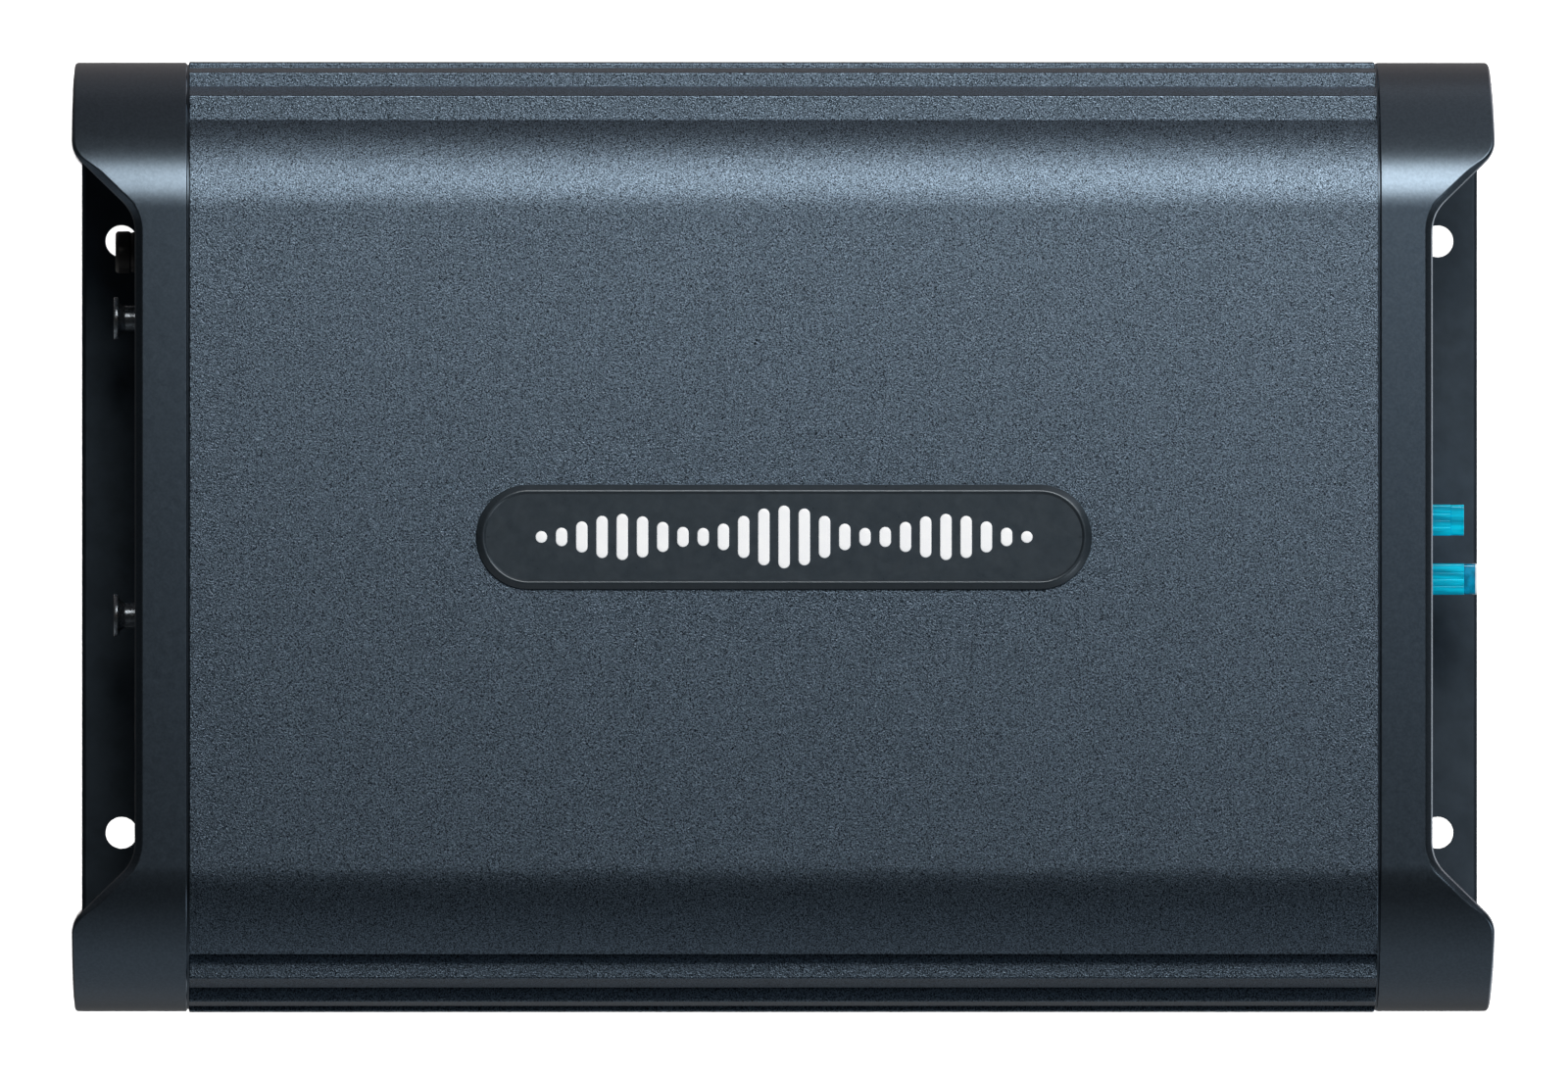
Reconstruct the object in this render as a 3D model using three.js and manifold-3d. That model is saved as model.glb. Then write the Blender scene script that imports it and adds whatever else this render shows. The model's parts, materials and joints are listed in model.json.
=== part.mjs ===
// Car audio power amplifier: an extruded aluminium heat-sink cover over a steel base plate,
// closed at each end by a steel panel and a cast hood whose roof is notched over the connectors.
// Millimetres. +X runs from the signal end to the power end, +Z is up, and the origin is on the
// underside of the base plate, in the middle of the footprint.
import * as THREE from "three";
import { mergeVertices } from "three/addons/utils/BufferGeometryUtils.js";
import Module from "manifold-3d";

const wasm = await Module();
wasm.setup();

// ---------------------------------------------------------------- driving dimensions
const HALF_LENGTH = 118; // end of either hood, along X
const HALF_DEPTH = 79; // outermost fin, along Y
const CROWN_Z = 54; // top of the cover on its centre line
const CROWN_DROP = 0.6; // how far the crown falls from the centre line to the shoulder
const FLAT_Y = 54; // where the crown ends and the rounded shoulder begins
const SHOULDER_Y = HALF_DEPTH - FLAT_Y; // shoulder ellipse, across
const SHOULDER_Z = 30; // shoulder ellipse, down
const GAP = 0.3; // assembly clearance between two pieces that touch

const SEAM_X = 98.5; // end of the extrusion, where the hood begins
const PANEL_T = 1.2; // sheet thickness of the end panels and of the base plate
const PANEL_IN_X = SEAM_X + GAP;
const PANEL_OUT_X = PANEL_IN_X + PANEL_T;
const COVER_FLOOR_Z = PANEL_T + GAP; // underside of everything that stands on the base plate

const HOOD_INSET = 0.2; // the hood lies this far inside the cover's outline
const HOOD_WALL = 2.2;
const HOOD_FLOOR_Z = 0.4;
const NOTCH_X = 107.5; // the roof's edge over the connectors
const NOTCH_Y = 53.5; // half-width of the notch at that edge
const NOTCH_MOUTH_Y = 63.7; // half-width of the notch where it reaches the hood's end
const NOTCH_R = 7; // inner corners of the notch
const NOTCH_MOUTH_R = 5;
const FLANGE_T = 2; // inner flange of the hood, which clamps the panel
const FLANGE_WIDTH = 3.6; // how far it stands in from the hood's wall
const FLANGE_X = PANEL_OUT_X + GAP;
const HOOD_BOSS_R = 4.2; // round the end screws

const BASE_HALF_X = 116;
const BASE_HALF_Y = 74;
const MOUNT_X = 109.7; // mounting holes
const MOUNT_Y = 49.3;
const MOUNT_R = 2.65;

// Countersunk base screws, flush with the plate.
const SINK_R = 3.2; // at the plate's underside
const SINK_TOP_R = 2;
const BASE_HEAD_R = 2.6;
const BASE_SHANK_R = 1.4;
const BASE_HEAD_Z = 0.1;
const BASE_TIP_Z = 7.6;
const BASE_SCREWS = [
  [-82, -67.5],
  [-82, 67.5],
  [82, -67.5],
  [82, 67.5],
];

// Pan-headed end screws, with a cross recess.
const END_HEAD_R = 2.8;
const END_HEAD_T = 1.8;
const END_SHANK_R = 1.45;
const END_TIP_X = 88;
const RECESS_DEPTH = 0.9;

const CONNECTOR_Z = 27; // height of every control and connector axis
const BOARD_Z = 9; // underside of the main circuit board
const BOARD_T = 1.6;
const BOARD_TOP_Z = BOARD_Z + BOARD_T + GAP;
const PAST = 1; // how far a cutter runs past the face it cuts

// ---------------------------------------------------------------- solids
const vector = (x, y) => new THREE.Vector2(x, y);
const Y_Z_X = new THREE.Matrix4().makeBasis(
  new THREE.Vector3(0, 1, 0),
  new THREE.Vector3(0, 0, 1),
  new THREE.Vector3(1, 0, 0),
);

function solidOf(geometry) {
  const bare = geometry.index ? geometry.toNonIndexed() : geometry.clone();
  bare.deleteAttribute("normal");
  bare.deleteAttribute("uv");
  const merged = mergeVertices(bare, 1e-4);
  const triVerts = new Uint32Array(merged.index.array);
  const vertProperties = merged.attributes.position.array;
  return new wasm.Manifold(new wasm.Mesh({ numProp: 3, vertProperties, triVerts }));
}

function geometryOf(solid) {
  const { vertProperties, triVerts } = solid.getMesh();
  const geometry = new THREE.BufferGeometry();
  geometry.setAttribute("position", new THREE.BufferAttribute(vertProperties, 3));
  geometry.setIndex(new THREE.BufferAttribute(triVerts, 1));
  geometry.computeVertexNormals();
  return geometry;
}

const join = (first, ...others) =>
  geometryOf(others.reduce((whole, g) => whole.add(solidOf(g)), solidOf(first)));

const cut = (first, ...tools) =>
  geometryOf(tools.reduce((rest, g) => rest.subtract(solidOf(g)), solidOf(first)));

const meet = (first, second) => geometryOf(solidOf(first).intersect(solidOf(second)));

function block(x0, x1, y0, y1, z0, z1) {
  const geometry = new THREE.BoxGeometry(x1 - x0, y1 - y0, z1 - z0);
  return geometry.translate((x0 + x1) / 2, (y0 + y1) / 2, (z0 + z1) / 2);
}

// A rod along X from x0 to x1, in either order.
function rodX(radius, x0, x1, y, z, sides = 16) {
  const geometry = new THREE.CylinderGeometry(radius, radius, Math.abs(x1 - x0), sides);
  return geometry.rotateZ(Math.PI / 2).translate((x0 + x1) / 2, y, z);
}

function rodZ(radius, z0, z1, x, y, sides = 16, topRadius = radius) {
  const geometry = new THREE.CylinderGeometry(topRadius, radius, z1 - z0, sides);
  return geometry.rotateX(Math.PI / 2).translate(x, y, (z0 + z1) / 2);
}

// Cross-shaped cutter for a screw head that faces along X.
function crossX(x0, x1, y, z, reach, half) {
  return [
    block(x0, x1, y - reach, y + reach, z - half, z + half),
    block(x0, x1, y - half, y + half, z - reach, z + reach),
  ];
}

// An outline in the Y-Z plane, extruded from x0 to x1.
function extrudeX(points, x0, x1) {
  const options = { depth: x1 - x0, bevelEnabled: false };
  const geometry = new THREE.ExtrudeGeometry(new THREE.Shape(points), options);
  return geometry.applyMatrix4(Y_Z_X).translate(x0, 0, 0);
}

// An outline in the X-Y plane, extruded from z0 to z1.
function extrudeZ(points, z0, z1) {
  const options = { depth: z1 - z0, bevelEnabled: false };
  return new THREE.ExtrudeGeometry(new THREE.Shape(points), options).translate(0, 0, z0);
}

function arc(cx, cy, rx, ry, from, to, steps) {
  return Array.from({ length: steps + 1 }, (_, i) => {
    const angle = from + ((to - from) * i) / steps;
    return vector(cx + rx * Math.cos(angle), cy + ry * Math.sin(angle));
  });
}

// A polygon whose corners are rounded, each to its own radius.
function rounded(corners, steps = 5) {
  const count = corners.length;
  return corners.flatMap(([x, y, radius = 0], i) => {
    const corner = vector(x, y);
    if (radius === 0) return [corner];
    const before = vector(...corners[(i + count - 1) % count]).sub(corner).normalize();
    const after = vector(...corners[(i + 1) % count]).sub(corner).normalize();
    const half = Math.acos(before.dot(after)) / 2;
    const middle = before.clone().add(after).normalize();
    const centre = corner.clone().addScaledVector(middle, radius / Math.sin(half));
    const start = corner.clone().addScaledVector(before, radius / Math.tan(half)).sub(centre);
    const end = corner.clone().addScaledVector(after, radius / Math.tan(half)).sub(centre);
    let sweep = end.angle() - start.angle();
    if (sweep > Math.PI) sweep -= 2 * Math.PI;
    if (sweep < -Math.PI) sweep += 2 * Math.PI;
    const first = start.angle();
    return arc(centre.x, centre.y, radius, radius, first, first + sweep, steps);
  });
}

// ---------------------------------------------------------------- enclosure outline
const SHOULDER_CENTRE_Z = CROWN_Z - CROWN_DROP - SHOULDER_Z;

// How far out the shoulder reaches at height z.
function envelopeY(z) {
  const up = Math.max(0, z - SHOULDER_CENTRE_Z) / SHOULDER_Z;
  return FLAT_Y + SHOULDER_Y * Math.sqrt(1 - up * up);
}

const crownPoints = (inset, steps = 8) =>
  Array.from({ length: steps - 1 }, (_, i) => {
    const y = FLAT_Y * (1 - (2 * (i + 1)) / steps);
    return vector(y, CROWN_Z - inset - CROWN_DROP * (y / FLAT_Y) ** 2);
  });

// The arch that the hood and the panel share, drawn inset from the cover's outline.
function archOutline(inset, floorZ) {
  const across = SHOULDER_Y - inset;
  const down = SHOULDER_Z - inset;
  const z = SHOULDER_CENTRE_Z;
  return [
    vector(HALF_DEPTH - inset, floorZ),
    ...arc(FLAT_Y, z, across, down, 0, Math.PI / 2, 9),
    ...crownPoints(inset),
    ...arc(-FLAT_Y, z, across, down, Math.PI / 2, Math.PI, 9),
    vector(inset - HALF_DEPTH, floorZ),
  ];
}

// ---------------------------------------------------------------- heat-sink cover
const CROWN_EDGE_Z = 47.2; // lip of the crown, over the first groove
const FIN_TOP_Z = 44;
const FIN_HEIGHT = 5.3;
const FIN_PITCH = 7.8;
const FIN_COUNT = 4;
const FIN_ROOT_Y = 70.6;
const FIN_LEAN = 0.25; // share of the shoulder's slope that a fin's nose follows
const RAIL_TOP_Z = FIN_TOP_Z - FIN_COUNT * FIN_PITCH;
const RAIL_CHAMFER = 1.5;
const LIP_WIDTH = 2.2; // how far the crown's lip stands out over the first groove
const ROOF_INNER_Z = 50;
const ROOF_INNER_Y = 56; // the roof's underside slopes down to the side wall from here
const WALL_INNER_Z = 34;
const WALL_INNER_Y = 66;
const FOOT_INNER_Y = 63.5;
const SLOT_ROOT_Y = 68.5; // the board's edge slides into this slot
const BASE_HOLE_TOP_Z = 8;
const CHANNEL_R = 1.9;
const CHANNELS = [
  [64, 43],
  [72.5, 5],
];

// The lip under the crown, the fins and the bottom rail of the +Y side, from the top down.
function finPoints() {
  const lipY = envelopeY(CROWN_EDGE_Z);
  const firstRootY = lipY - LIP_WIDTH;
  const points = [vector(lipY, CROWN_EDGE_Z), vector(firstRootY, CROWN_EDGE_Z)];
  for (let i = 0; i < FIN_COUNT; i += 1) {
    const top = FIN_TOP_Z - i * FIN_PITCH;
    const bottom = top - FIN_HEIGHT;
    const middleY = envelopeY((top + bottom) / 2);
    const lean = FIN_LEAN * (envelopeY(bottom) - envelopeY(top));
    points.push(vector(i === 0 ? firstRootY : FIN_ROOT_Y, top));
    points.push(vector(middleY - lean, top));
    points.push(vector(Math.min(middleY + lean, HALF_DEPTH), bottom));
    points.push(vector(FIN_ROOT_Y, bottom));
  }
  points.push(vector(FIN_ROOT_Y, RAIL_TOP_Z), vector(HALF_DEPTH, RAIL_TOP_Z));
  points.push(vector(HALF_DEPTH, COVER_FLOOR_Z + RAIL_CHAMFER));
  points.push(vector(HALF_DEPTH - RAIL_CHAMFER, COVER_FLOOR_Z));
  return points;
}

// Both sides of every end screw's channel.
const channelPositions = () => CHANNELS.flatMap(([y, z]) => [[y, z], [-y, z]]);

// Shoulder from the crown's end down to the lip.
function shoulderPoints(steps = 6) {
  const lipAngle = Math.asin((CROWN_EDGE_Z - SHOULDER_CENTRE_Z) / SHOULDER_Z);
  const points = arc(FLAT_Y, SHOULDER_CENTRE_Z, SHOULDER_Y, SHOULDER_Z, Math.PI / 2, lipAngle, steps);
  return points.slice(0, -1);
}

function heatsinkCover() {
  const slotTop = BOARD_TOP_Z;
  const slotBottom = BOARD_Z - GAP;
  const outside = [...shoulderPoints(), ...finPoints()];
  const inside = [
    vector(FOOT_INNER_Y, COVER_FLOOR_Z),
    vector(FOOT_INNER_Y, slotBottom),
    vector(SLOT_ROOT_Y, slotBottom),
    vector(SLOT_ROOT_Y, slotTop),
    vector(WALL_INNER_Y, slotTop),
    vector(WALL_INNER_Y, WALL_INNER_Z),
    vector(ROOF_INNER_Y, ROOF_INNER_Z),
  ];
  const half = [...outside, ...inside];
  const mirrored = half.map((p) => vector(-p.x, p.y)).reverse();
  const crown = crownPoints(0).reverse();
  const profile = extrudeX([...mirrored, ...crown, ...half], -SEAM_X, SEAM_X);
  const channels = channelPositions().map(([y, z]) =>
    rodX(CHANNEL_R, -SEAM_X - PAST, SEAM_X + PAST, y, z, 10),
  );
  const baseHoles = BASE_SCREWS.map(([x, y]) =>
    rodZ(CHANNEL_R, COVER_FLOOR_Z - PAST, BASE_HOLE_TOP_Z, x, y, 10),
  );
  return cut(profile, ...channels, ...baseHoles);
}

// ---------------------------------------------------------------- base plate
function basePlate() {
  const corner = 2;
  const outline = rounded(
    [
      [-BASE_HALF_X, -BASE_HALF_Y, corner],
      [BASE_HALF_X, -BASE_HALF_Y, corner],
      [BASE_HALF_X, BASE_HALF_Y, corner],
      [-BASE_HALF_X, BASE_HALF_Y, corner],
    ],
    3,
  );
  const holes = [-1, 1].flatMap((sx) =>
    [-1, 1].map((sy) => rodZ(MOUNT_R, -PAST, PANEL_T + PAST, sx * MOUNT_X, sy * MOUNT_Y, 24)),
  );
  // the cone, drawn on past both faces of the plate
  const spread = ((SINK_R - SINK_TOP_R) * PAST) / PANEL_T;
  const sinks = BASE_SCREWS.map(([x, y]) =>
    rodZ(SINK_R + spread, -PAST, PANEL_T + PAST, x, y, 14, SINK_TOP_R - spread),
  );
  return cut(extrudeZ(outline, 0, PANEL_T), ...holes, ...sinks);
}

function baseScrew([x, y]) {
  const head = rodZ(BASE_HEAD_R, BASE_HEAD_Z, BASE_HEAD_Z + PANEL_T, x, y, 14, BASE_SHANK_R);
  return join(head, rodZ(BASE_SHANK_R, PANEL_T, BASE_TIP_Z, x, y, 10));
}

// ---------------------------------------------------------------- end hoods
// Built at the power end; the signal end's is the same casting turned round.
function endHood() {
  const outside = extrudeX(archOutline(HOOD_INSET, HOOD_FLOOR_Z), PANEL_IN_X, HALF_LENGTH);
  const hollow = archOutline(HOOD_INSET + HOOD_WALL, HOOD_FLOOR_Z - PAST);
  const opening = archOutline(HOOD_INSET + HOOD_WALL + FLANGE_WIDTH, HOOD_FLOOR_Z - PAST);
  const shell = cut(outside, extrudeX(hollow, PANEL_IN_X - PAST, HALF_LENGTH + PAST));

  const flangeEnd = FLANGE_X + FLANGE_T;
  const inner = extrudeX(archOutline(HOOD_INSET + 1, COVER_FLOOR_Z), FLANGE_X, flangeEnd);
  const rim = cut(inner, extrudeX(opening, FLANGE_X - PAST, flangeEnd + PAST));
  const positions = channelPositions();
  const bosses = positions.map(([y, z]) => rodX(HOOD_BOSS_R, FLANGE_X, flangeEnd, y, z, 18));
  const flange = meet(join(rim, ...bosses), inner);
  const screwHoles = positions.map(([y, z]) =>
    rodX(CHANNEL_R, FLANGE_X - PAST, flangeEnd + 2 * PAST, y, z, 10),
  );

  const beyond = HALF_LENGTH + 7;
  const mouthEnd = NOTCH_MOUTH_Y + 8.3;
  const notch = rounded([
    [beyond, -mouthEnd],
    [HALF_LENGTH, -mouthEnd],
    [HALF_LENGTH, -NOTCH_MOUTH_Y, NOTCH_MOUTH_R],
    [NOTCH_X, -NOTCH_Y, NOTCH_R],
    [NOTCH_X, NOTCH_Y, NOTCH_R],
    [HALF_LENGTH, NOTCH_MOUTH_Y, NOTCH_MOUTH_R],
    [HALF_LENGTH, mouthEnd],
    [beyond, mouthEnd],
  ]);
  return cut(join(shell, flange), ...screwHoles, extrudeZ(notch, -PAST, CROWN_Z + PAST));
}

function endScrew(side, y, z) {
  const seat = side * (FLANGE_X + FLANGE_T + GAP);
  const face = seat + side * END_HEAD_T;
  const shaft = rodX(END_SHANK_R, side * END_TIP_X, seat + side * 0.5, y, z, 10);
  const head = rodX(END_HEAD_R, seat, face, y, z, 16);
  const recess = crossX(face - RECESS_DEPTH, face + RECESS_DEPTH, y, z, 1.7, 0.35);
  return cut(join(shaft, head), ...recess);
}

// ---------------------------------------------------------------- end panels
const PANEL_FIT = 0.4; // clearance round a panel, and round what stands in its windows
const PANEL_CUT = [PANEL_IN_X - PAST, PANEL_OUT_X + PAST]; // reach of a cutter through a panel

function panelBlank(side) {
  const inset = HOOD_INSET + HOOD_WALL + PANEL_FIT;
  const [x0, x1] = side > 0 ? [PANEL_IN_X, PANEL_OUT_X] : [-PANEL_OUT_X, -PANEL_IN_X];
  const plate = extrudeX(archOutline(inset, COVER_FLOOR_Z), x0, x1);
  const holes = channelPositions().map(([y, z]) =>
    rodX(CHANNEL_R, side * PANEL_CUT[0], side * PANEL_CUT[1], y, z, 10),
  );
  return cut(plate, ...holes);
}

// ---------------------------------------------------------------- signal end: controls
const REMOTE_Y = 47.3;
const CROSSOVER_Y = 36.3;
const SWITCH_Y = 14;
const LED_Y = 1.5;
const LED_SPACING = 8;
const LEVEL_Y = -13;
const PHONO_Y = [-30, -45];
const BODY_BACK_X = -86; // rear of the controls, where the control board begins
const BODY_FRONT_X = -SEAM_X;

const KNOB_TIP_X = -111;
const KNOB_HEAD_R = 3.55;
const KNOB_HEAD_T = 1;
const KNOB_SHAFT_R = 2.2;
const KNOB_BACK_X = -92;
const KNOB_SLOT = { halfY: 2.6, halfZ: 0.45, depth: 0.5 };
const POT_HALF = 5;
const POT_BORE_R = 2.6;
const POT_BUSHING_R = 3.3;
const POT_BUSHING_X = -101.6;
const POT_BORE_END_X = -91.6;

const REMOTE_HALF = 4.8;
const REMOTE_BARREL_R = 3.2;
const REMOTE_RIM_R = 3.5;
const REMOTE_BORE_R = 1.8;
const REMOTE_TIP_X = -110.7;
const REMOTE_RIM_T = 0.8;

const PHONO_BARREL_R = 4.15;
const PHONO_HOLLOW_R = 3.4;
const PHONO_POST_R = 2.3;
const PHONO_BORE_R = 1.6;
const PHONO_BACK_T = 1.2; // closed back of a jack's barrel

const SLIDER_TRAVEL = 2;
const SLIDER_HALF_Y = 1.1;
const SLIDER_HALF_Z = 1.3;
const SLIDER_TIP_X = -102.4;
const SLIDER_BACK_X = -94.5;
const SLIDER_REST_Y = SWITCH_Y - SLIDER_TRAVEL / 2;
const SWITCH_HALF_Y = 5.5;
const SWITCH_HALF_Z = 3.6;

const LAMP_R = 1.5;
const LAMP_LENGTH = 6; // of the straight part, behind the dome
const LAMP_BACK_X = -94;

function signalPanel() {
  const [near, far] = [-PANEL_CUT[0], -PANEL_CUT[1]];
  const through = (radius, y, z = CONNECTOR_Z) => rodX(radius, near, far, y, z, 20);
  const [windowY, windowZ] = [SLIDER_HALF_Y + SLIDER_TRAVEL - 0.1, SLIDER_HALF_Z + 0.6];
  return cut(
    panelBlank(-1),
    through(REMOTE_BARREL_R + PANEL_FIT, REMOTE_Y),
    through(POT_BUSHING_R + PANEL_FIT, CROSSOVER_Y),
    through(POT_BUSHING_R + PANEL_FIT, LEVEL_Y),
    through(LAMP_R + PANEL_FIT, LED_Y, CONNECTOR_Z + LED_SPACING / 2),
    through(LAMP_R + PANEL_FIT, LED_Y, CONNECTOR_Z - LED_SPACING / 2),
    ...PHONO_Y.map((y) => through(PHONO_BARREL_R + 0.45, y)),
    block(
      far,
      near,
      SWITCH_Y - windowY,
      SWITCH_Y + windowY,
      CONNECTOR_Z - windowZ,
      CONNECTOR_Z + windowZ,
    ),
  );
}

// The square body of a control, behind the signal end's panel.
function controlBody(y, half) {
  const z = CONNECTOR_Z;
  return block(BODY_FRONT_X, BODY_BACK_X, y - half, y + half, z - half, z + half);
}

function potentiometer(y) {
  const bushing = rodX(POT_BUSHING_R, BODY_FRONT_X + 1, POT_BUSHING_X, y, CONNECTOR_Z);
  const bore = rodX(POT_BORE_R, POT_BORE_END_X, POT_BUSHING_X - PAST, y, CONNECTOR_Z);
  return cut(join(controlBody(y, POT_HALF), bushing), bore);
}

function knob(y) {
  const headX = KNOB_TIP_X + KNOB_HEAD_T;
  const head = rodX(KNOB_HEAD_R, KNOB_TIP_X, headX, y, CONNECTOR_Z, 24);
  const shaft = rodX(KNOB_SHAFT_R, headX - 0.5, KNOB_BACK_X, y, CONNECTOR_Z);
  const { halfY, halfZ, depth } = KNOB_SLOT;
  const slotX = [KNOB_TIP_X - PAST, KNOB_TIP_X + depth];
  const slot = block(...slotX, y - halfY, y + halfY, CONNECTOR_Z - halfZ, CONNECTOR_Z + halfZ);
  return cut(join(head, shaft), slot);
}

function remoteJack() {
  const [y, z] = [REMOTE_Y, CONNECTOR_Z];
  const barrel = rodX(REMOTE_BARREL_R, BODY_FRONT_X + 1, REMOTE_TIP_X, y, z, 20);
  const rim = rodX(REMOTE_RIM_R, REMOTE_TIP_X + REMOTE_RIM_T, REMOTE_TIP_X, y, z, 20);
  const bore = rodX(REMOTE_BORE_R, -PANEL_OUT_X, REMOTE_TIP_X - PAST, y, z);
  return cut(join(controlBody(y, REMOTE_HALF), barrel, rim), bore);
}

function phonoHousing() {
  const [high, low] = [Math.max(...PHONO_Y) + 7, Math.min(...PHONO_Y) - 7];
  return block(BODY_FRONT_X, BODY_BACK_X, low, high, BOARD_TOP_Z, CONNECTOR_Z + 8);
}

// Barrel, closed at the back, with the insulated centre contact standing in it.
function phonoJack(y) {
  const [back, tip] = [-PANEL_IN_X, -NOTCH_X];
  const barrel = rodX(PHONO_BARREL_R, back, tip, y, CONNECTOR_Z, 24);
  const hollow = rodX(PHONO_HOLLOW_R, back - PHONO_BACK_T, tip - PAST, y, CONNECTOR_Z, 24);
  const post = rodX(PHONO_POST_R, back - PHONO_BACK_T / 2, tip + 0.8, y, CONNECTOR_Z, 16);
  const bore = rodX(PHONO_BORE_R, back - 2, tip - PAST, y, CONNECTOR_Z, 12);
  return cut(join(cut(barrel, hollow), post), bore);
}

function switchBody() {
  const [y, z] = [SWITCH_Y, CONNECTOR_Z];
  const [wide, tall] = [SWITCH_HALF_Y, SWITCH_HALF_Z];
  const body = block(BODY_FRONT_X, BODY_BACK_X, y - wide, y + wide, z - tall, z + tall);
  const [reachY, reachZ] = [SLIDER_HALF_Y + 1.5, SLIDER_HALF_Z + 0.5];
  const track = block(
    BODY_FRONT_X - PAST,
    SLIDER_BACK_X + 0.5,
    y - reachY,
    y + reachY,
    z - reachZ,
    z + reachZ,
  );
  return cut(body, track);
}

function switchSlider() {
  const [y, z] = [SLIDER_REST_Y, CONNECTOR_Z];
  const [wide, tall] = [SLIDER_HALF_Y, SLIDER_HALF_Z];
  return block(SLIDER_TIP_X, SLIDER_BACK_X, y - wide, y + wide, z - tall, z + tall);
}

// A 3 mm lamp: a round rod with a domed front.
function lamp(z) {
  const dome = arc(0, LAMP_LENGTH, LAMP_R, LAMP_R, 0, Math.PI / 2, 4).slice(0, -1);
  const tip = vector(0, LAMP_LENGTH + LAMP_R);
  const geometry = new THREE.LatheGeometry([vector(0, 0), vector(LAMP_R, 0), ...dome, tip], 14);
  return geometry.rotateZ(Math.PI / 2).translate(LAMP_BACK_X, LED_Y, z);
}

function controlBoard() {
  const [near, halfY, topZ] = [BODY_BACK_X + GAP, 54, 40];
  return block(near, near + BOARD_T, -halfY, halfY, BOARD_TOP_Z, topZ);
}

// ---------------------------------------------------------------- power end: terminals
const TERMINALS = [
  ["battery", 42],
  ["remote", 31],
  ["ground", 20],
  ["speaker_positive", -24],
  ["speaker_negative", -35],
];
const TERMINAL_PITCH = 11;
const TERMINAL_FACE_X = 101.8;
const BARRIER_T = 1.4;
const BARRIER_X = 106;
const BLOCK_HALF_Z = 10;
const BLOCK_BOTTOM_Z = CONNECTOR_Z - BLOCK_HALF_Z;
const BLOCK_TOP_Z = CONNECTOR_Z + BLOCK_HALF_Z;
const BLOCK_BACK_X = 84;
const FOOT_X = SEAM_X - 0.5; // the foot behind the panel, under a block or a holder
const CLAMP_X = TERMINAL_FACE_X + 0.4;
const CLAMP_T = 1;
const CLAMP_HALF = 4.2;
const TERMINAL_SHAFT_R = 1.95;
const TERMINAL_HOLE_R = 2.35;
const TERMINAL_HEAD_R = 3.7;
const TERMINAL_HEAD_T = 2.2;
const TERMINAL_TIP_X = 92;
const TERMINAL_HOLE_END_X = 91;
const TERMINAL_RECESS = { depth: 1.2, reach: 2.3, half: 0.5 };
const STOP_GROOVE = { from: 4.5, to: 5, depth: 0.4 }; // marks off the contact, from the axis

const terminalYs = (keep) => TERMINALS.map(([, y]) => y).filter(keep);

function blockSpan(ys) {
  const reach = (TERMINAL_PITCH + BARRIER_T) / 2;
  return [Math.min(...ys) - reach, Math.max(...ys) + reach];
}

// Shallow grooves across a bay, above and below its clamp plate.
function stopGrooves(y) {
  const halfBay = (TERMINAL_PITCH - BARRIER_T) / 2;
  const { from, to, depth } = STOP_GROOVE;
  const x = [TERMINAL_FACE_X - depth, TERMINAL_FACE_X + PAST];
  return [[from, to], [-to, -from]].map(([z0, z1]) =>
    block(...x, y - halfBay, y + halfBay, CONNECTOR_Z + z0, CONNECTOR_Z + z1),
  );
}

function terminalBlock(ys) {
  const [low, high] = blockSpan(ys);
  const front = block(BLOCK_BACK_X, TERMINAL_FACE_X, low, high, BLOCK_BOTTOM_Z, BLOCK_TOP_Z);
  const foot = block(BLOCK_BACK_X, FOOT_X, low, high, BOARD_TOP_Z, BLOCK_BOTTOM_Z + 1);
  const barriers = Array.from({ length: ys.length + 1 }, (_, i) => {
    const y = low + i * TERMINAL_PITCH;
    return block(BLOCK_BACK_X, BARRIER_X, y, y + BARRIER_T, BLOCK_BOTTOM_Z, BLOCK_TOP_Z);
  });
  const holes = ys.map((y) =>
    rodX(TERMINAL_HOLE_R, TERMINAL_HOLE_END_X, BARRIER_X, y, CONNECTOR_Z, 12),
  );
  return cut(join(front, foot, ...barriers), ...holes, ...ys.flatMap(stopGrooves));
}

function clampPlate(y) {
  const [z, half] = [CONNECTOR_Z, CLAMP_HALF];
  const plate = block(CLAMP_X, CLAMP_X + CLAMP_T, y - half, y + half, z - half, z + half);
  return cut(plate, rodX(TERMINAL_HOLE_R, CLAMP_X - PAST, CLAMP_X + CLAMP_T + PAST, y, z, 14));
}

function terminalScrew(y) {
  const [z, seat] = [CONNECTOR_Z, CLAMP_X + CLAMP_T + GAP];
  const face = seat + TERMINAL_HEAD_T;
  const head = rodX(TERMINAL_HEAD_R, seat, face, y, z, 20);
  const shaft = rodX(TERMINAL_SHAFT_R, TERMINAL_TIP_X, seat + 0.5, y, z, 12);
  const { depth, reach, half } = TERMINAL_RECESS;
  return cut(join(head, shaft), ...crossX(face - depth, face + PAST, y, z, reach, half));
}

// ---------------------------------------------------------------- power end: fuses
const FUSE_Y = [2.8, -7];
const FUSE_TIP_X = [113.4, 115.6]; // the second fuse isn't pushed fully home
const FUSE_LENGTH = 12; // plastic body, along X
const FUSE_HALF_T = 2.6;
const FUSE_HALF_W = 9.55;
const BLADE_LENGTH = 6.5;
const BLADE_HALF_T = 0.33;
const BLADE_Z = 6.9; // blade centre, above and below the fuse's axis
const BLADE_HALF_W = 2.6;
const HOLDER_FACE_X = 105.5;
const HOLDER_FLOOR_X = 101;
const HOLDER_Y = [-13, 9];
const HOLDER_HALF_Z = 12;
const HOLDER_FIT = 0.4; // clearance round a fuse's body
const CONTACT_FIT = 0.45; // clearance round its blades
const CONTACT_END_X = 92.4;

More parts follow.
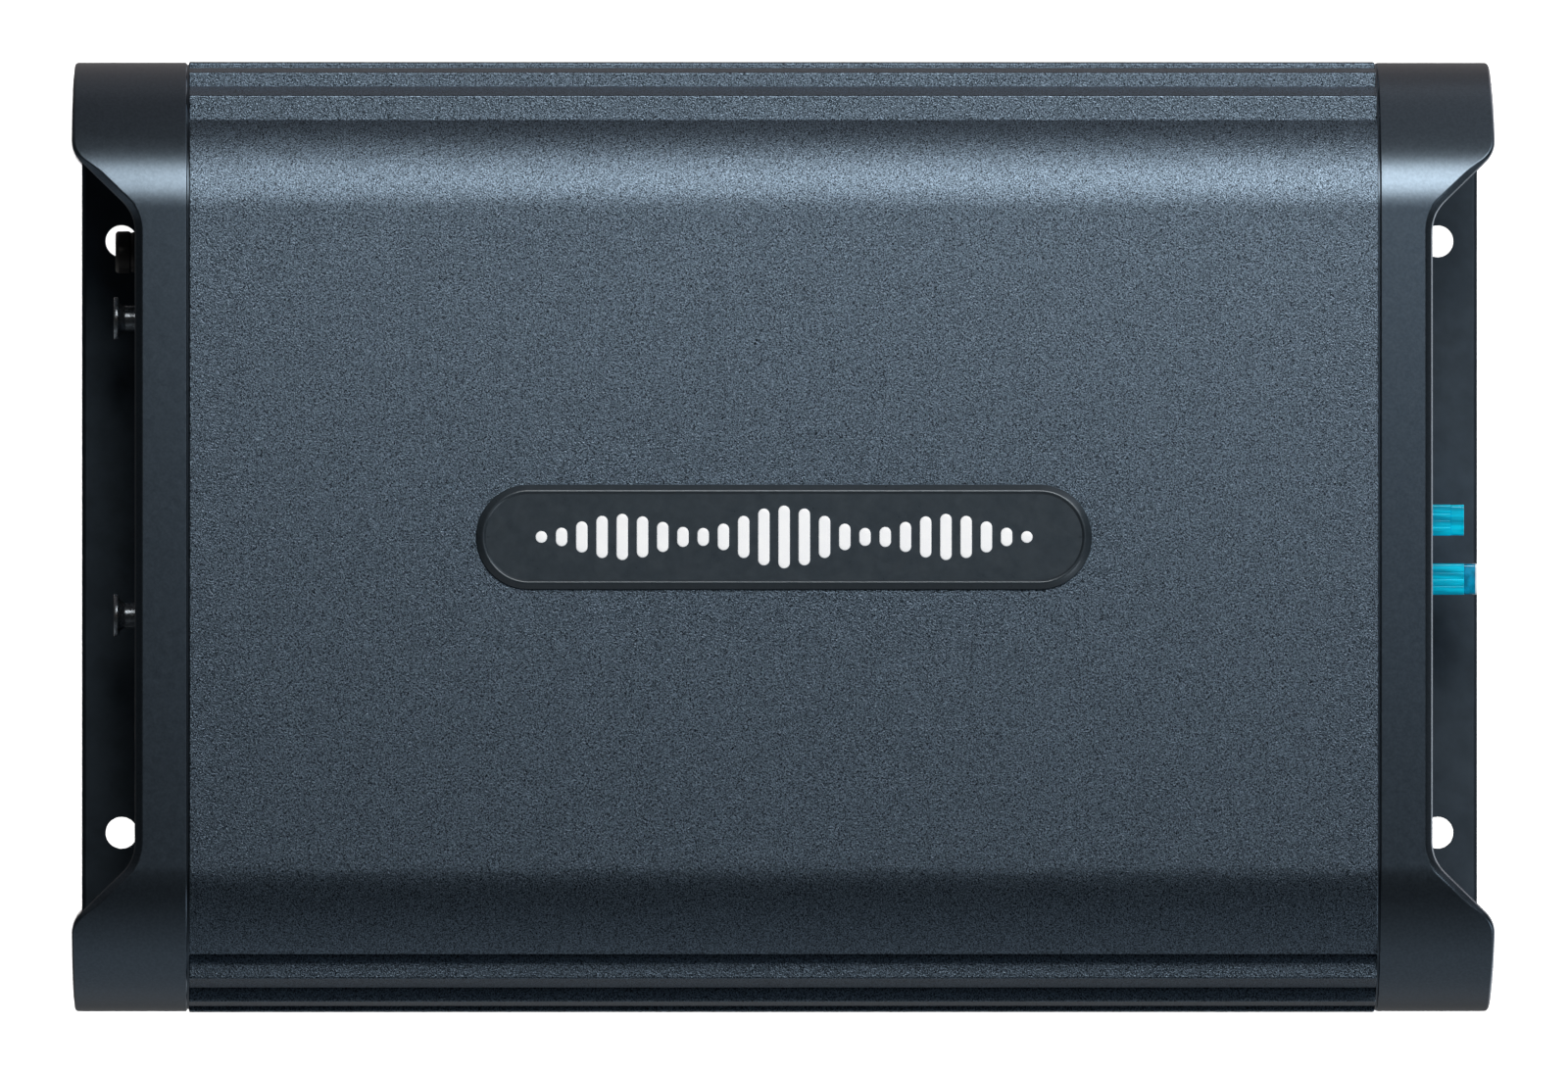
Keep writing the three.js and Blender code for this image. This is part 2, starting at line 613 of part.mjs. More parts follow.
function bladeBlocks(x0, x1, y, clearance) {
  return [-BLADE_Z, BLADE_Z].map((dz) => {
    const [halfT, halfW] = [BLADE_HALF_T + clearance, BLADE_HALF_W + clearance];
    const z = CONNECTOR_Z + dz;
    return block(x0, x1, y - halfT, y + halfT, z - halfW, z + halfW);
  });
}

function fuse(i) {
  const [y, tip] = [FUSE_Y[i], FUSE_TIP_X[i]];
  const back = tip - FUSE_LENGTH;
  const z = [CONNECTOR_Z - FUSE_HALF_W, CONNECTOR_Z + FUSE_HALF_W];
  const body = block(back, tip, y - FUSE_HALF_T, y + FUSE_HALF_T, ...z);
  return join(body, ...bladeBlocks(back - BLADE_LENGTH, back + 1, y, 0));
}

function fuseHolder() {
  const [low, high] = HOLDER_Y;
  const z = [CONNECTOR_Z - HOLDER_HALF_Z, CONNECTOR_Z + HOLDER_HALF_Z];
  const body = block(BLOCK_BACK_X, HOLDER_FACE_X, low, high, ...z);
  const foot = block(BLOCK_BACK_X, FOOT_X, low, high, BOARD_TOP_Z, z[0] + 1);
  const seats = FUSE_Y.flatMap((y) => {
    const [halfT, halfW] = [FUSE_HALF_T + HOLDER_FIT, FUSE_HALF_W + HOLDER_FIT];
    const zs = [CONNECTOR_Z - halfW, CONNECTOR_Z + halfW];
    const recess = block(HOLDER_FLOOR_X, HOLDER_FACE_X + PAST, y - halfT, y + halfT, ...zs);
    return [recess, ...bladeBlocks(CONTACT_END_X, HOLDER_FLOOR_X + PAST, y, CONTACT_FIT)];
  });
  return cut(join(body, foot), ...seats);
}

function powerPanel() {
  const window = ([low, high], halfZ) => {
    const z = [CONNECTOR_Z - halfZ - PANEL_FIT, CONNECTOR_Z + halfZ + PANEL_FIT];
    return block(...PANEL_CUT, low - PANEL_FIT, high + PANEL_FIT, ...z);
  };
  return cut(
    panelBlank(1),
    window(blockSpan(terminalYs((y) => y > 0)), BLOCK_HALF_Z),
    window(blockSpan(terminalYs((y) => y < 0)), BLOCK_HALF_Z),
    window(HOLDER_Y, HOLDER_HALF_Z),
  );
}

// ---------------------------------------------------------------- inside
const TRANSISTOR = { thickness: 4.5, halfX: 5, footZ: 15, topZ: 31, legZ: 16 };
const CLAMP_BAR = { halfX: 42, thickness: 2.2, z: [19, 28] };

function mainBoard() {
  const [halfX, halfY] = [SEAM_X - 1, SLOT_ROOT_Y - GAP];
  return block(-halfX, halfX, -halfY, halfY, BOARD_Z, BOARD_Z + BOARD_T);
}

// A wound ring core lying flat on the board.
function toroid(x, y, outer, inner, height) {
  const round = 0.22 * height;
  const profile = rounded(
    [
      [inner, 0, round],
      [outer, 0, round],
      [outer, height, round],
      [inner, height, round],
    ],
    2,
  );
  const ring = new THREE.LatheGeometry([...profile, profile[0]], 28);
  return ring.rotateX(Math.PI / 2).translate(x, y, BOARD_TOP_Z);
}

const capacitor = (x, y) => rodZ(8, BOARD_TOP_Z, BOARD_TOP_Z + 30, x, y, 20);

// Orders two distances from the middle for the +Y or the -Y wall.
const onSide = (side, near, far) => (side > 0 ? [near, far] : [-far, -near]);

// A power transistor standing on its legs against the cover's side wall.
function transistor(x, side) {
  const { thickness, halfX, footZ, topZ, legZ } = TRANSISTOR;
  const far = WALL_INNER_Y - GAP;
  const [y0, y1] = onSide(side, far - thickness, far);
  const middle = (y0 + y1) / 2;
  const legs = [-2.5, 0, 2.5].map((dx) =>
    block(x + dx - 0.5, x + dx + 0.5, middle - 0.4, middle + 0.4, BOARD_TOP_Z, legZ),
  );
  return join(block(x - halfX, x + halfX, y0, y1, footZ, topZ), ...legs);
}

function transistorClamp(side) {
  const { halfX, thickness, z } = CLAMP_BAR;
  const far = WALL_INNER_Y - TRANSISTOR.thickness - 2 * GAP;
  return block(-halfX, halfX, ...onSide(side, far - thickness, far), ...z);
}

// ---------------------------------------------------------------- badge
const BADGE_HALF_X = 51;
const BADGE_HALF_Y = 8.7;
const BADGE_Z = CROWN_Z + 0.2;
const BADGE_T = 1;

function badgePlate() {
  const outline = rounded(
    [
      [-BADGE_HALF_X, -BADGE_HALF_Y, BADGE_HALF_Y - 0.01],
      [BADGE_HALF_X, -BADGE_HALF_Y, BADGE_HALF_Y - 0.01],
      [BADGE_HALF_X, BADGE_HALF_Y, BADGE_HALF_Y - 0.01],
      [-BADGE_HALF_X, BADGE_HALF_Y, BADGE_HALF_Y - 0.01],
    ],
    8,
  );
  return extrudeZ(outline, BADGE_Z, BADGE_Z + BADGE_T);
}

// ---------------------------------------------------------------- materials
const finish = (color, roughness, metalness = 0) =>
  new THREE.MeshStandardMaterial({ color, roughness, metalness });

const texturedPaint = finish(0x3a4650, 0.6, 0.3);
const satinPaint = finish(0x2c3238, 0.45, 0.2);
const steelPaint = finish(0x14171b, 0.35, 0.2);
const blackPlastic = finish(0x0d0e10, 0.45);
const boardGreen = finish(0x1d5a34, 0.5);
const nickel = finish(0xc9c7c1, 0.25, 1);
const brightSteel = finish(0xa8abb0, 0.35, 1);
const copper = finish(0xa4592c, 0.4, 0.8);
const fuseBlue = finish(0x0aa6d6, 0.2);
const ledBlue = finish(0x3a78ff, 0.2);
const ledRed = finish(0xd02a20, 0.2);
const badgeBlack = finish(0x2a2e32, 0.25, 0.3);

// ---------------------------------------------------------------- assembly
const amplifier = new THREE.Group();

function add(name, geometry, material, parent = amplifier) {
  const mesh = new THREE.Mesh(geometry, material);
  mesh.name = name;
  parent.add(mesh);
  return mesh;
}

function addEnclosure() {
  add("heatsink_cover", heatsinkCover(), texturedPaint);
  add("base_plate", basePlate(), steelPaint);
  add("signal_end_panel", signalPanel(), steelPaint);
  add("power_end_panel", powerPanel(), steelPaint);
  add("power_end_hood", endHood(), satinPaint);
  add("signal_end_hood", endHood(), satinPaint).rotation.z = Math.PI;
  add("badge_plate", badgePlate(), badgeBlack);
  BASE_SCREWS.forEach((at, i) => add(`base_screw_${i + 1}`, baseScrew(at), brightSteel));
  for (const [end, side] of [["signal", -1], ["power", 1]]) {
    channelPositions().forEach(([y, z], i) =>
      add(`${end}_end_screw_${i + 1}`, endScrew(side, y, z), steelPaint),
    );
  }
}

function addSignalEnd() {
  add("crossover_pot", potentiometer(CROSSOVER_Y), blackPlastic);
  add("level_pot", potentiometer(LEVEL_Y), blackPlastic);
  add("crossover_knob", knob(CROSSOVER_Y), blackPlastic);
  add("level_knob", knob(LEVEL_Y), blackPlastic);
  add("remote_jack", remoteJack(), blackPlastic);
  add("phono_housing", phonoHousing(), blackPlastic);
  PHONO_Y.forEach((y, i) => add(`phono_jack_${i + 1}`, phonoJack(y), nickel));
  add("mode_switch_body", switchBody(), blackPlastic);
  add("mode_switch_slider", switchSlider(), blackPlastic);
  add("power_lamp", lamp(CONNECTOR_Z + LED_SPACING / 2), ledBlue);
  add("protect_lamp", lamp(CONNECTOR_Z - LED_SPACING / 2), ledRed);
  add("control_board", controlBoard(), boardGreen);
}

function addPowerEnd() {
  add("power_terminal_block", terminalBlock(terminalYs((y) => y > 0)), blackPlastic);
  add("speaker_terminal_block", terminalBlock(terminalYs((y) => y < 0)), blackPlastic);
  for (const [name, y] of TERMINALS) {
    add(`${name}_clamp_plate`, clampPlate(y), nickel);
    add(`${name}_screw`, terminalScrew(y), nickel);
  }
  add("fuse_holder", fuseHolder(), blackPlastic);
  add("fuse_1", fuse(0), fuseBlue);
  add("fuse_2", fuse(1), fuseBlue);
}

function addElectronics() {
  add("main_board", mainBoard(), boardGreen);
  add("power_transformer", toroid(22, 8, 23, 9, 21), copper);
  add("output_inductor", toroid(-38, -28, 14, 5.5, 13), copper);
  [-30, -10, 34].forEach((y, i) =>
    add(`reservoir_capacitor_${i + 1}`, capacitor(i === 2 ? -30 : 66, y), blackPlastic),
  );
  [-25, 25].forEach((x, i) => {
    add(`output_transistor_${i + 1}`, transistor(x, 1), blackPlastic);
    add(`output_transistor_${i + 3}`, transistor(x, -1), blackPlastic);
  });
  add("transistor_clamp_1", transistorClamp(1), brightSteel);
  add("transistor_clamp_2", transistorClamp(-1), brightSteel);
}

addEnclosure();
addSignalEnd();
addPowerEnd();
addElectronics();

export default amplifier;
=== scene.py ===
"""Looks of the car audio amplifier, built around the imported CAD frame.

Shapes are drawn in millimetres, in the row's frame, and turned into metres when a piece is made.
+X runs from the signal end to the power end, +Y across, +Z up.
"""

import json
from math import acos, asin, atan2, copysign, cos, degrees, hypot, pi, radians, sin, sqrt, tan

import bmesh
import bpy
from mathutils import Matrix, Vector
from mathutils.geometry import tessellate_polygon


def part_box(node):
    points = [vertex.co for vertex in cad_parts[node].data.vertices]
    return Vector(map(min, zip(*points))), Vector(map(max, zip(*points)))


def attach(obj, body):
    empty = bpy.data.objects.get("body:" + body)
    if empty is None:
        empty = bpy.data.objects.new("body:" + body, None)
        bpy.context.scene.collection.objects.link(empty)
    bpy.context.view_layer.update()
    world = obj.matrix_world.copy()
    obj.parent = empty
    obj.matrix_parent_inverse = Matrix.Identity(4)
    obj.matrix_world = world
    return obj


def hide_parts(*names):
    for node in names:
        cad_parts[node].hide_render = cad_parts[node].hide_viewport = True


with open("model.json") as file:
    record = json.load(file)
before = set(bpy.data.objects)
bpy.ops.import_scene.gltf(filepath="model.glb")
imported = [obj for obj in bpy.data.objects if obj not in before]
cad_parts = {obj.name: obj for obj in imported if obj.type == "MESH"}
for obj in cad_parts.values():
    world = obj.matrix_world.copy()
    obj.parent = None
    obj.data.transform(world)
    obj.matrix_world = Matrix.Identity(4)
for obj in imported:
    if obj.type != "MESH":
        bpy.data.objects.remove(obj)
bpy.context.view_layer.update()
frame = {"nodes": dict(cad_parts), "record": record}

MM = 0.001
ROOT = "amplifier"
scene = bpy.context.scene


def span(node):
    """Lowest and highest corner of a CAD node, in millimetres."""
    low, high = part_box(node)
    return low / MM, high / MM


def middle(node):
    low, high = span(node)
    return (low + high) / 2


# ---- camera, floor and light, in metres
CAMERA_HEIGHT = 8.2
CAMERA_SIDE = -0.11  # the view leans a little from the signal end
CAMERA_REACH = 50.0
VIEW_WIDTH = 0.2603  # what the frame takes in at the height VIEW_PLANE_Z
VIEW_PLANE_Z = 0.034
FLOOR_HALF_SIZE = 12.0
FLOOR_GAP = 0.0002
KEY_ANGLE = radians(31)  # how far the key light stands off the vertical, toward +Y
KEY_DISTANCE = 1.2
KEY_X = 0.28
PAPER_LAMP_STRENGTH = 4.4


def aim(thing, place, target):
    thing.location = place
    thing.rotation_euler = (Vector(target) - Vector(place)).to_track_quat("-Z", "Y").to_euler()


def add_camera():
    crown = Vector((0.0, 0.0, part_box("heatsink_cover")[1].z))
    camera = bpy.data.objects.new("camera", bpy.data.cameras.new("camera"))
    scene.collection.objects.link(camera)
    camera.location = (CAMERA_SIDE, 0.0, CAMERA_HEIGHT)
    camera.rotation_euler.y = atan2(CAMERA_SIDE, CAMERA_HEIGHT - crown.z)
    camera.data.lens = camera.data.sensor_width * (CAMERA_HEIGHT - VIEW_PLANE_Z) / VIEW_WIDTH
    camera.data.clip_end = CAMERA_REACH
    scene.camera = camera


def add_softbox(name, place, target, width, depth, radiance, colour=(1, 1, 1)):
    """A rectangular lamp that looks equally bright whatever its size."""
    lamp = bpy.data.lights.new(name, "AREA")
    lamp.shape = "RECTANGLE"
    lamp.size = width
    lamp.size_y = depth
    lamp.energy = radiance * pi * width * depth
    lamp.color = colour
    box = bpy.data.objects.new(name, lamp)
    scene.collection.objects.link(box)
    aim(box, place, target)
    box.visible_camera = False


def add_floor():
    """White paper, which the object's own surfaces don't see: the world lights them instead."""
    size = FLOOR_HALF_SIZE
    corners = [(-size, -size, 0), (size, -size, 0), (size, size, 0), (-size, size, 0)]
    mesh = bpy.data.meshes.new("floor")
    mesh.from_pydata(corners, [], [(0, 1, 2, 3)])
    floor = bpy.data.objects.new("floor", mesh)
    floor.location.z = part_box("base_plate")[0].z - FLOOR_GAP
    scene.collection.objects.link(floor)
    mesh.materials.append(surface("floor_paper", (0.86, 0.86, 0.86), 0.9, mottle=(2.0, 0.01)))
    floor.visible_glossy = False
    floor.visible_diffuse = False
    return floor


def add_studio():
    """A long softbox over the +Y side, dim ones overhead and low beyond it, one off each corner of
    the power end, and a lamp for the paper alone."""
    floor = add_floor()
    key_place = (KEY_X, KEY_DISTANCE * sin(KEY_ANGLE), KEY_DISTANCE * cos(KEY_ANGLE))
    add_softbox("key_softbox", key_place, (KEY_X, 0, 0), 0.86, 0.50, 7.6, (1.0, 0.91, 0.83))
    add_softbox("top_softbox", (0.26, 0.23, 1.5), (0.26, 0.23, 0), 0.60, 0.45, 0.36, (0.86, 1.0, 1.14))
    add_softbox("far_softbox", (0.55, 0.85, 0.0), (0.55, 0, 0), 1.0, 1.0, 0.22, (1.0, 0.92, 0.88))
    for side in (-1, 1):
        add_softbox(f"corner_softbox_{side}", (1.0, side * 0.9, 0.75), (0, 0, 0.03), 0.6, 0.6, 2.0)

    paper_lamp = bpy.data.lights.new("paper_lamp", "SUN")
    paper_lamp.energy = PAPER_LAMP_STRENGTH
    paper = bpy.data.objects.new("paper_lamp", paper_lamp)
    scene.collection.objects.link(paper)
    lit = bpy.data.collections.new("paper_only")
    lit.objects.link(floor)
    paper.light_linking.receiver_collection = lit

    scene.world = make_world()
    scene.view_settings.view_transform = "Standard"


def combined(tree, operation, first, second):
    """Two values put together by a math node; the second may be a plain number."""
    node = tree.nodes.new("ShaderNodeMath")
    node.operation = operation
    tree.links.new(first, node.inputs[0])
    if isinstance(second, float):
        node.inputs[1].default_value = second
    else:
        tree.links.new(second, node.inputs[1])
    return node.outputs["Value"]


ROOM_LIGHT = 0.02


def make_world():
    """A dark room: its walls on the -Y and +Y sides give a little light, and paper lies below.

    Each part's strength is a ramp over the direction's X, Y or Z.
    """
    world = bpy.data.worlds.new("studio")
    world.use_nodes = True
    tree = world.node_tree
    background = tree.nodes["Background"]
    split = tree.nodes.new("ShaderNodeSeparateXYZ")
    tree.links.new(tree.nodes.new("ShaderNodeTexCoord").outputs["Generated"], split.inputs["Vector"])
    along, across, up = split.outputs["X"], split.outputs["Y"], split.outputs["Z"]
    warmth = ranged(tree, across, 0.1, 0.5, 0.0, 1.0)
    tint = mixed(tree, warmth, (1.0, 0.97, 0.95, 1.0), (1.0, 0.86, 0.82, 1.0))
    tree.links.new(tint, background.inputs["Color"])

    near_wall = ranged(tree, across, -0.75, -0.20, 0.26, 0.0)
    far_wall = ranged(tree, across, 0.40, 0.90, 0.0, 0.12)
    walls = combined(tree, "ADD", near_wall, far_wall)
    walls = combined(tree, "MULTIPLY", walls, ranged(tree, up, 0.05, 0.90, 1.0, 0.0))
    paper = ranged(tree, along, -0.6, -0.2, 0.1, 1.0)
    paper = combined(tree, "MULTIPLY", paper, ranged(tree, up, -0.45, -0.05, 0.22, 0.0))
    paper = combined(tree, "MULTIPLY", paper, ranged(tree, across, -0.5, -0.1, 0.35, 1.0))
    end_paper = ranged(tree, along, 0.2, 0.6, 0.0, 2.4)
    end_paper = combined(tree, "MULTIPLY", end_paper, ranged(tree, up, -0.75, -0.35, 1.0, 0.0))
    paper = combined(tree, "MAXIMUM", paper, end_paper)
    strength = combined(tree, "ADD", combined(tree, "MAXIMUM", walls, paper), ROOM_LIGHT)
    tree.links.new(strength, background.inputs["Strength"])

    # the camera itself sees plain white beyond the floor
    backdrop = tree.nodes.new("ShaderNodeBackground")
    backdrop.inputs["Color"].default_value = (1.0, 1.0, 1.0, 1.0)
    chosen = tree.nodes.new("ShaderNodeMixShader")
    tree.links.new(tree.nodes.new("ShaderNodeLightPath").outputs["Is Camera Ray"], chosen.inputs["Fac"])
    tree.links.new(background.outputs["Background"], chosen.inputs[1])
    tree.links.new(backdrop.outputs["Background"], chosen.inputs[2])
    tree.links.new(chosen.outputs["Shader"], tree.nodes["World Output"].inputs["Surface"])
    return world


# ---- materials
GRAIN_TURN = (0.61, 0.43, 0.87)  # keeps the noise's own lattice off the flat faces


def scaled(colour, factor):
    """The colour made brighter or darker, with full opacity."""
    return tuple(min(1.0, channel * factor) for channel in colour) + (1.0,)


def noise(tree, scale, detail=3.0, rough=0.6, stretch=None):
    """A noise texture in object space: scale is in cells per metre."""
    mapping = tree.nodes.new("ShaderNodeMapping")
    if stretch:
        mapping.inputs["Scale"].default_value = stretch
    else:
        mapping.inputs["Rotation"].default_value = GRAIN_TURN
    tree.links.new(tree.nodes.new("ShaderNodeTexCoord").outputs["Object"], mapping.inputs["Vector"])
    texture = tree.nodes.new("ShaderNodeTexNoise")
    texture.inputs["Scale"].default_value = scale
    texture.inputs["Detail"].default_value = detail
    texture.inputs["Roughness"].default_value = rough
    tree.links.new(mapping.outputs["Vector"], texture.inputs["Vector"])
    return texture.outputs["Fac"]


def ranged(tree, value, low, high, out_low, out_high):
    """A clamped ramp: out_low where the value is low, out_high where it is high."""
    node = tree.nodes.new("ShaderNodeMapRange")
    for socket, number in zip(("From Min", "From Max", "To Min", "To Max"), (low, high, out_low, out_high)):
        node.inputs[socket].default_value = number
    tree.links.new(value, node.inputs["Value"])
    return node.outputs["Result"]


def mixed(tree, factor, first, second):
    """Blends two colours, or a linked colour with a second one."""
    node = tree.nodes.new("ShaderNodeMix")
    node.data_type = "RGBA"
    tree.links.new(factor, node.inputs["Factor"])
    if isinstance(first, tuple):
        node.inputs["A"].default_value = first
    else:
        tree.links.new(first, node.inputs["A"])
    node.inputs["B"].default_value = second
    return node.outputs["Result"]


def surface(name, colour, roughness, metallic=0.0, mottle=(300.0, 0.1), spread=0.0, grains=(), edge_highlight=None,
            stretch=None, **sockets):
    """A procedural material.

    mottle is (cells per metre, share by which the colour varies); spread is how far the roughness
    varies; grains are bumps, each (cells per metre, strength, height in millimetres); the edge colour
    is a painted highlight, mixed in at convex edges where light catches them.
    """
    material = bpy.data.materials.new(name)
    material.use_nodes = True
    tree = material.node_tree
    shader = tree.nodes["Principled BSDF"]
    shader.inputs["Metallic"].default_value = metallic
    shader.inputs["Roughness"].default_value = roughness
    for socket, value in sockets.items():
        shader.inputs[socket.replace("_", " ")].default_value = value

    scale, share = mottle
    pattern = ranged(tree, noise(tree, scale, stretch=stretch), 0.36, 0.64, 0.0, 1.0)
    tint = mixed(tree, pattern, scaled(colour, 1 - share), scaled(colour, 1 + share))
    # painted highlight: convex edges are lightened towards the edge colour, standing in for light catching
    # them
    if edge_highlight:
        edges = tree.nodes.new("ShaderNodeNewGeometry").outputs["Pointiness"]
        edge_share = ranged(tree, edges, 0.53, 0.6, 0.0, 0.6)
        tint = mixed(tree, edge_share, tint, edge_highlight + (1.0,))
    tree.links.new(tint, shader.inputs["Base Color"])

    if spread:
        smudge = noise(tree, scale * 0.37 + 20, detail=4)
        varied = ranged(tree, smudge, 0.3, 0.7, roughness - spread, roughness + spread)
        tree.links.new(varied, shader.inputs["Roughness"])
    normal = None
    for cells, strength, height in grains:
        bump = tree.nodes.new("ShaderNodeBump")
        bump.inputs["Strength"].default_value = strength
        bump.inputs["Distance"].default_value = height * MM
        tree.links.new(noise(tree, cells, stretch=stretch), bump.inputs["Height"])
        if normal:
            tree.links.new(normal, bump.inputs["Normal"])
        normal = bump.outputs["Normal"]
    if normal:
        tree.links.new(normal, shader.inputs["Normal"])
    return material


def resin(name, colour):
    """The tinted, half clear plastic of a lamp."""
    return surface(name, colour, 0.12, 0.0, (500, 0.08), 0.03, [(900, 0.05, 0.02)],
                   Transmission_Weight=0.5)


def smooth_plastic(name, colour, mottle, **sockets):
    return surface(name, colour, 0.35, 0.0, mottle, 0.05, [(1500, 0.10, 0.02)], **sockets)


def make_materials():
    """Every material, by the name that a piece asks for."""
    return {
        "cover_paint": surface(
            "wrinkle_powder_coat", (0.103, 0.149, 0.203), 0.31, 0.97, (4400, 0.95), 0.04,
            [(4000, 1.0, 0.085), (1500, 0.10, 0.05)]),
        "hood_paint": surface(
            "satin_paint", (0.100, 0.140, 0.185), 0.30, 0.95, (2200, 0.10), 0.02, [(3000, 0.08, 0.015)]),
        "sheet_steel_paint": surface(
            "gloss_dark_paint", (0.056, 0.080, 0.108), 0.48, 0.95, (240, 0.10), 0.05,
            [(1200, 0.10, 0.02), (90, 0.12, 0.10)]),
        "badge": surface(
            "badge_satin", (0.048, 0.070, 0.092), 0.32, 0.5, (900, 0.06), 0.05,
            [(2400, 0.10, 0.02)], Coat_Weight=0.3, Coat_Roughness=0.15),
        # the bars' emission is painted light: they glow a little, brighter than the lamps alone make white
        # enamel
        "badge_mark": surface(
            "badge_white_enamel_painted_glow", (0.88, 0.93, 0.99), 0.28, 0.0, (400, 0.03), 0.05,
            [(1500, 0.06, 0.02)], Emission_Color=(0.86, 0.93, 1.0, 1.0), Emission_Strength=0.32),
        "bright_steel": surface(
            "zinc_plate", (0.62, 0.63, 0.66), 0.32, 1.0, (700, 0.10), 0.10, [(1800, 0.15, 0.02)]),
        "black_screw": surface(
            "black_oxide", (0.030, 0.030, 0.034), 0.34, 0.6, (900, 0.25), 0.08,
            # the lighter edge colour is a painted highlight on the screws' convex edges
            [(2200, 0.20, 0.02)], edge_highlight=(0.16, 0.16, 0.16)),
        "black_plastic": surface(
            "moulded_black", (0.022, 0.023, 0.026), 0.42, 0.0, (600, 0.18), 0.06, [(2600, 0.25, 0.03)]),
        "knob_plastic": surface(
            "knob_plastic", (0.30, 0.36, 0.42), 0.26, 0.85, (1900, 0.30), 0.06,
            # the lighter edge colour is a painted highlight on the knob's convex edges
            [(2400, 0.20, 0.03)], edge_highlight=(0.30, 0.30, 0.30)),
        "plated_contact": surface(
            "nickel_plate", (0.72, 0.70, 0.66), 0.24, 1.0, (900, 0.08), 0.08, [(1500, 0.12, 0.02)]),
        "circuit_board": surface(
            "solder_mask", (0.020, 0.120, 0.050), 0.30, 0.0, (350, 0.30), 0.08, [(500, 0.30, 0.04)]),
        # the moulding's emission is painted light: it glows a little, standing in for light passing through
        # the plastic
        "fuse_plastic": surface(
            "fuse_moulding_painted_glow", (0, 0.47, 0.74), 0.20, 0.0, (900, 0.45), 0.05,
            [(1100, 0.40, 0.05)], stretch=(0.10, 1.0, 1.0), Emission_Color=(0, 0.28, 0.50, 1.0),
            Emission_Strength=0.22, Specular_IOR_Level=0.25, Coat_Weight=0.15, Coat_Roughness=0.06),
        # the lens's emission is painted light: a faint glow standing in for light passing through the head
        "fuse_lens": surface(
            "fuse_lens", (0, 0.22, 0.42), 0.12, 0.0, (500, 0.5), 0.04,
            [(400, 0.30, 0.10)], Emission_Color=(0, 0.30, 0.50, 1.0), Emission_Strength=0.12,
            Coat_Weight=0.6, Coat_Roughness=0.05),
        "copper_winding": surface(
            "enamelled_copper", (0.48, 0.16, 0.05), 0.26, 0.85, (600, 0.20), 0.06, [(1200, 0.20, 0.04)]),
        "capacitor_sleeve": surface(
            "shrink_sleeve", (0.020, 0.022, 0.040), 0.30, 0.0, (200, 0.15), 0.06, [(300, 0.15, 0.05)]),
        "print_ink": surface(
            "white_print", (0.72, 0.74, 0.76), 0.6, 0.0, (1500, 0.06), 0.05, [(3000, 0.10, 0.01)]),
        # a white rim that glows: a painted highlight along fuse 2's end, where light catches the rounded
        # edge
        "painted_highlight_rim": smooth_plastic("painted_highlight_rim", (0.80, 0.92, 1.0), (900, 0.06),
                                      Emission_Color=(0.7, 0.9, 1.0, 1.0), Emission_Strength=0.20),
        "white_insulator": smooth_plastic("white_insulator", (0.80, 0.80, 0.78), (500, 0.04)),
        "red_insulator": smooth_plastic("red_insulator", (0.62, 0.02, 0.02), (500, 0.08)),
        "blue_lamp": resin("blue_resin", (0.10, 0.25, 0.90)),
        "red_lamp": resin("red_resin", (0.75, 0.04, 0.03)),
    }


LOOKS = make_materials()


# ---- outlines
def circle(u, v, radius, steps=40):
    turns = (2 * pi * i / steps for i in range(steps))
    return [(u + radius * cos(a), v + radius * sin(a)) for a in turns]


def disc(at, radius, steps):
    """A circle across X, round a point."""
    return circle(at.y, at.z, radius, steps)


def arc(u, v, across, up, start, end, steps):
    """Points of an elliptical arc, angles in degrees."""
    angles = (radians(start + (end - start) * i / steps) for i in range(steps + 1))
    return [(u + across * cos(a), v + up * sin(a)) for a in angles]


def rounded(corners, steps=4):
    """A polygon whose corners, (u, v) or (u, v, radius), are rounded."""
    points = []
    for i, (u, v, *extra) in enumerate(corners):
        radius = extra[0] if extra else 0
        if not radius:
            points.append((u, v))
            continue
        corner = Vector((u, v))
        before = (Vector(corners[i - 1][:2]) - corner).normalized()
        after = (Vector(corners[(i + 1) % len(corners)][:2]) - corner).normalized()
        half = acos(max(-1.0, min(1.0, before.dot(after)))) / 2
        centre = corner + (before + after).normalized() * radius / sin(half)
        start = corner + before * radius / tan(half) - centre
        end = corner + after * radius / tan(half) - centre
        first = atan2(start.y, start.x)
        sweep = (atan2(end.y, end.x) - first + pi) % (2 * pi) - pi
        angles = (first + sweep * k / steps for k in range(steps + 1))
        points += [(centre.x + radius * cos(a), centre.y + radius * sin(a)) for a in angles]
    return points


def rectangle(u0, u1, v0, v1, radius=0.0, steps=4):
    corners = [(u0, v0, radius), (u1, v0, radius), (u1, v1, radius), (u0, v1, radius)]
    return rounded(corners, steps)


def cross(u, v, reach, half):
    """A cross-head recess."""
    quarter = [(half, -half), (reach, -half), (reach, half)]
    points = []
    for turn in range(4):
        c, s = round(cos(turn * pi / 2)), round(sin(turn * pi / 2))
        points += [(u + a * c - b * s, v + a * s + b * c) for a, b in quarter]
    return points


def area(loop):
    return sum(a[0] * b[1] - b[0] * a[1] for a, b in zip(loop, loop[1:] + loop[:1])) / 2


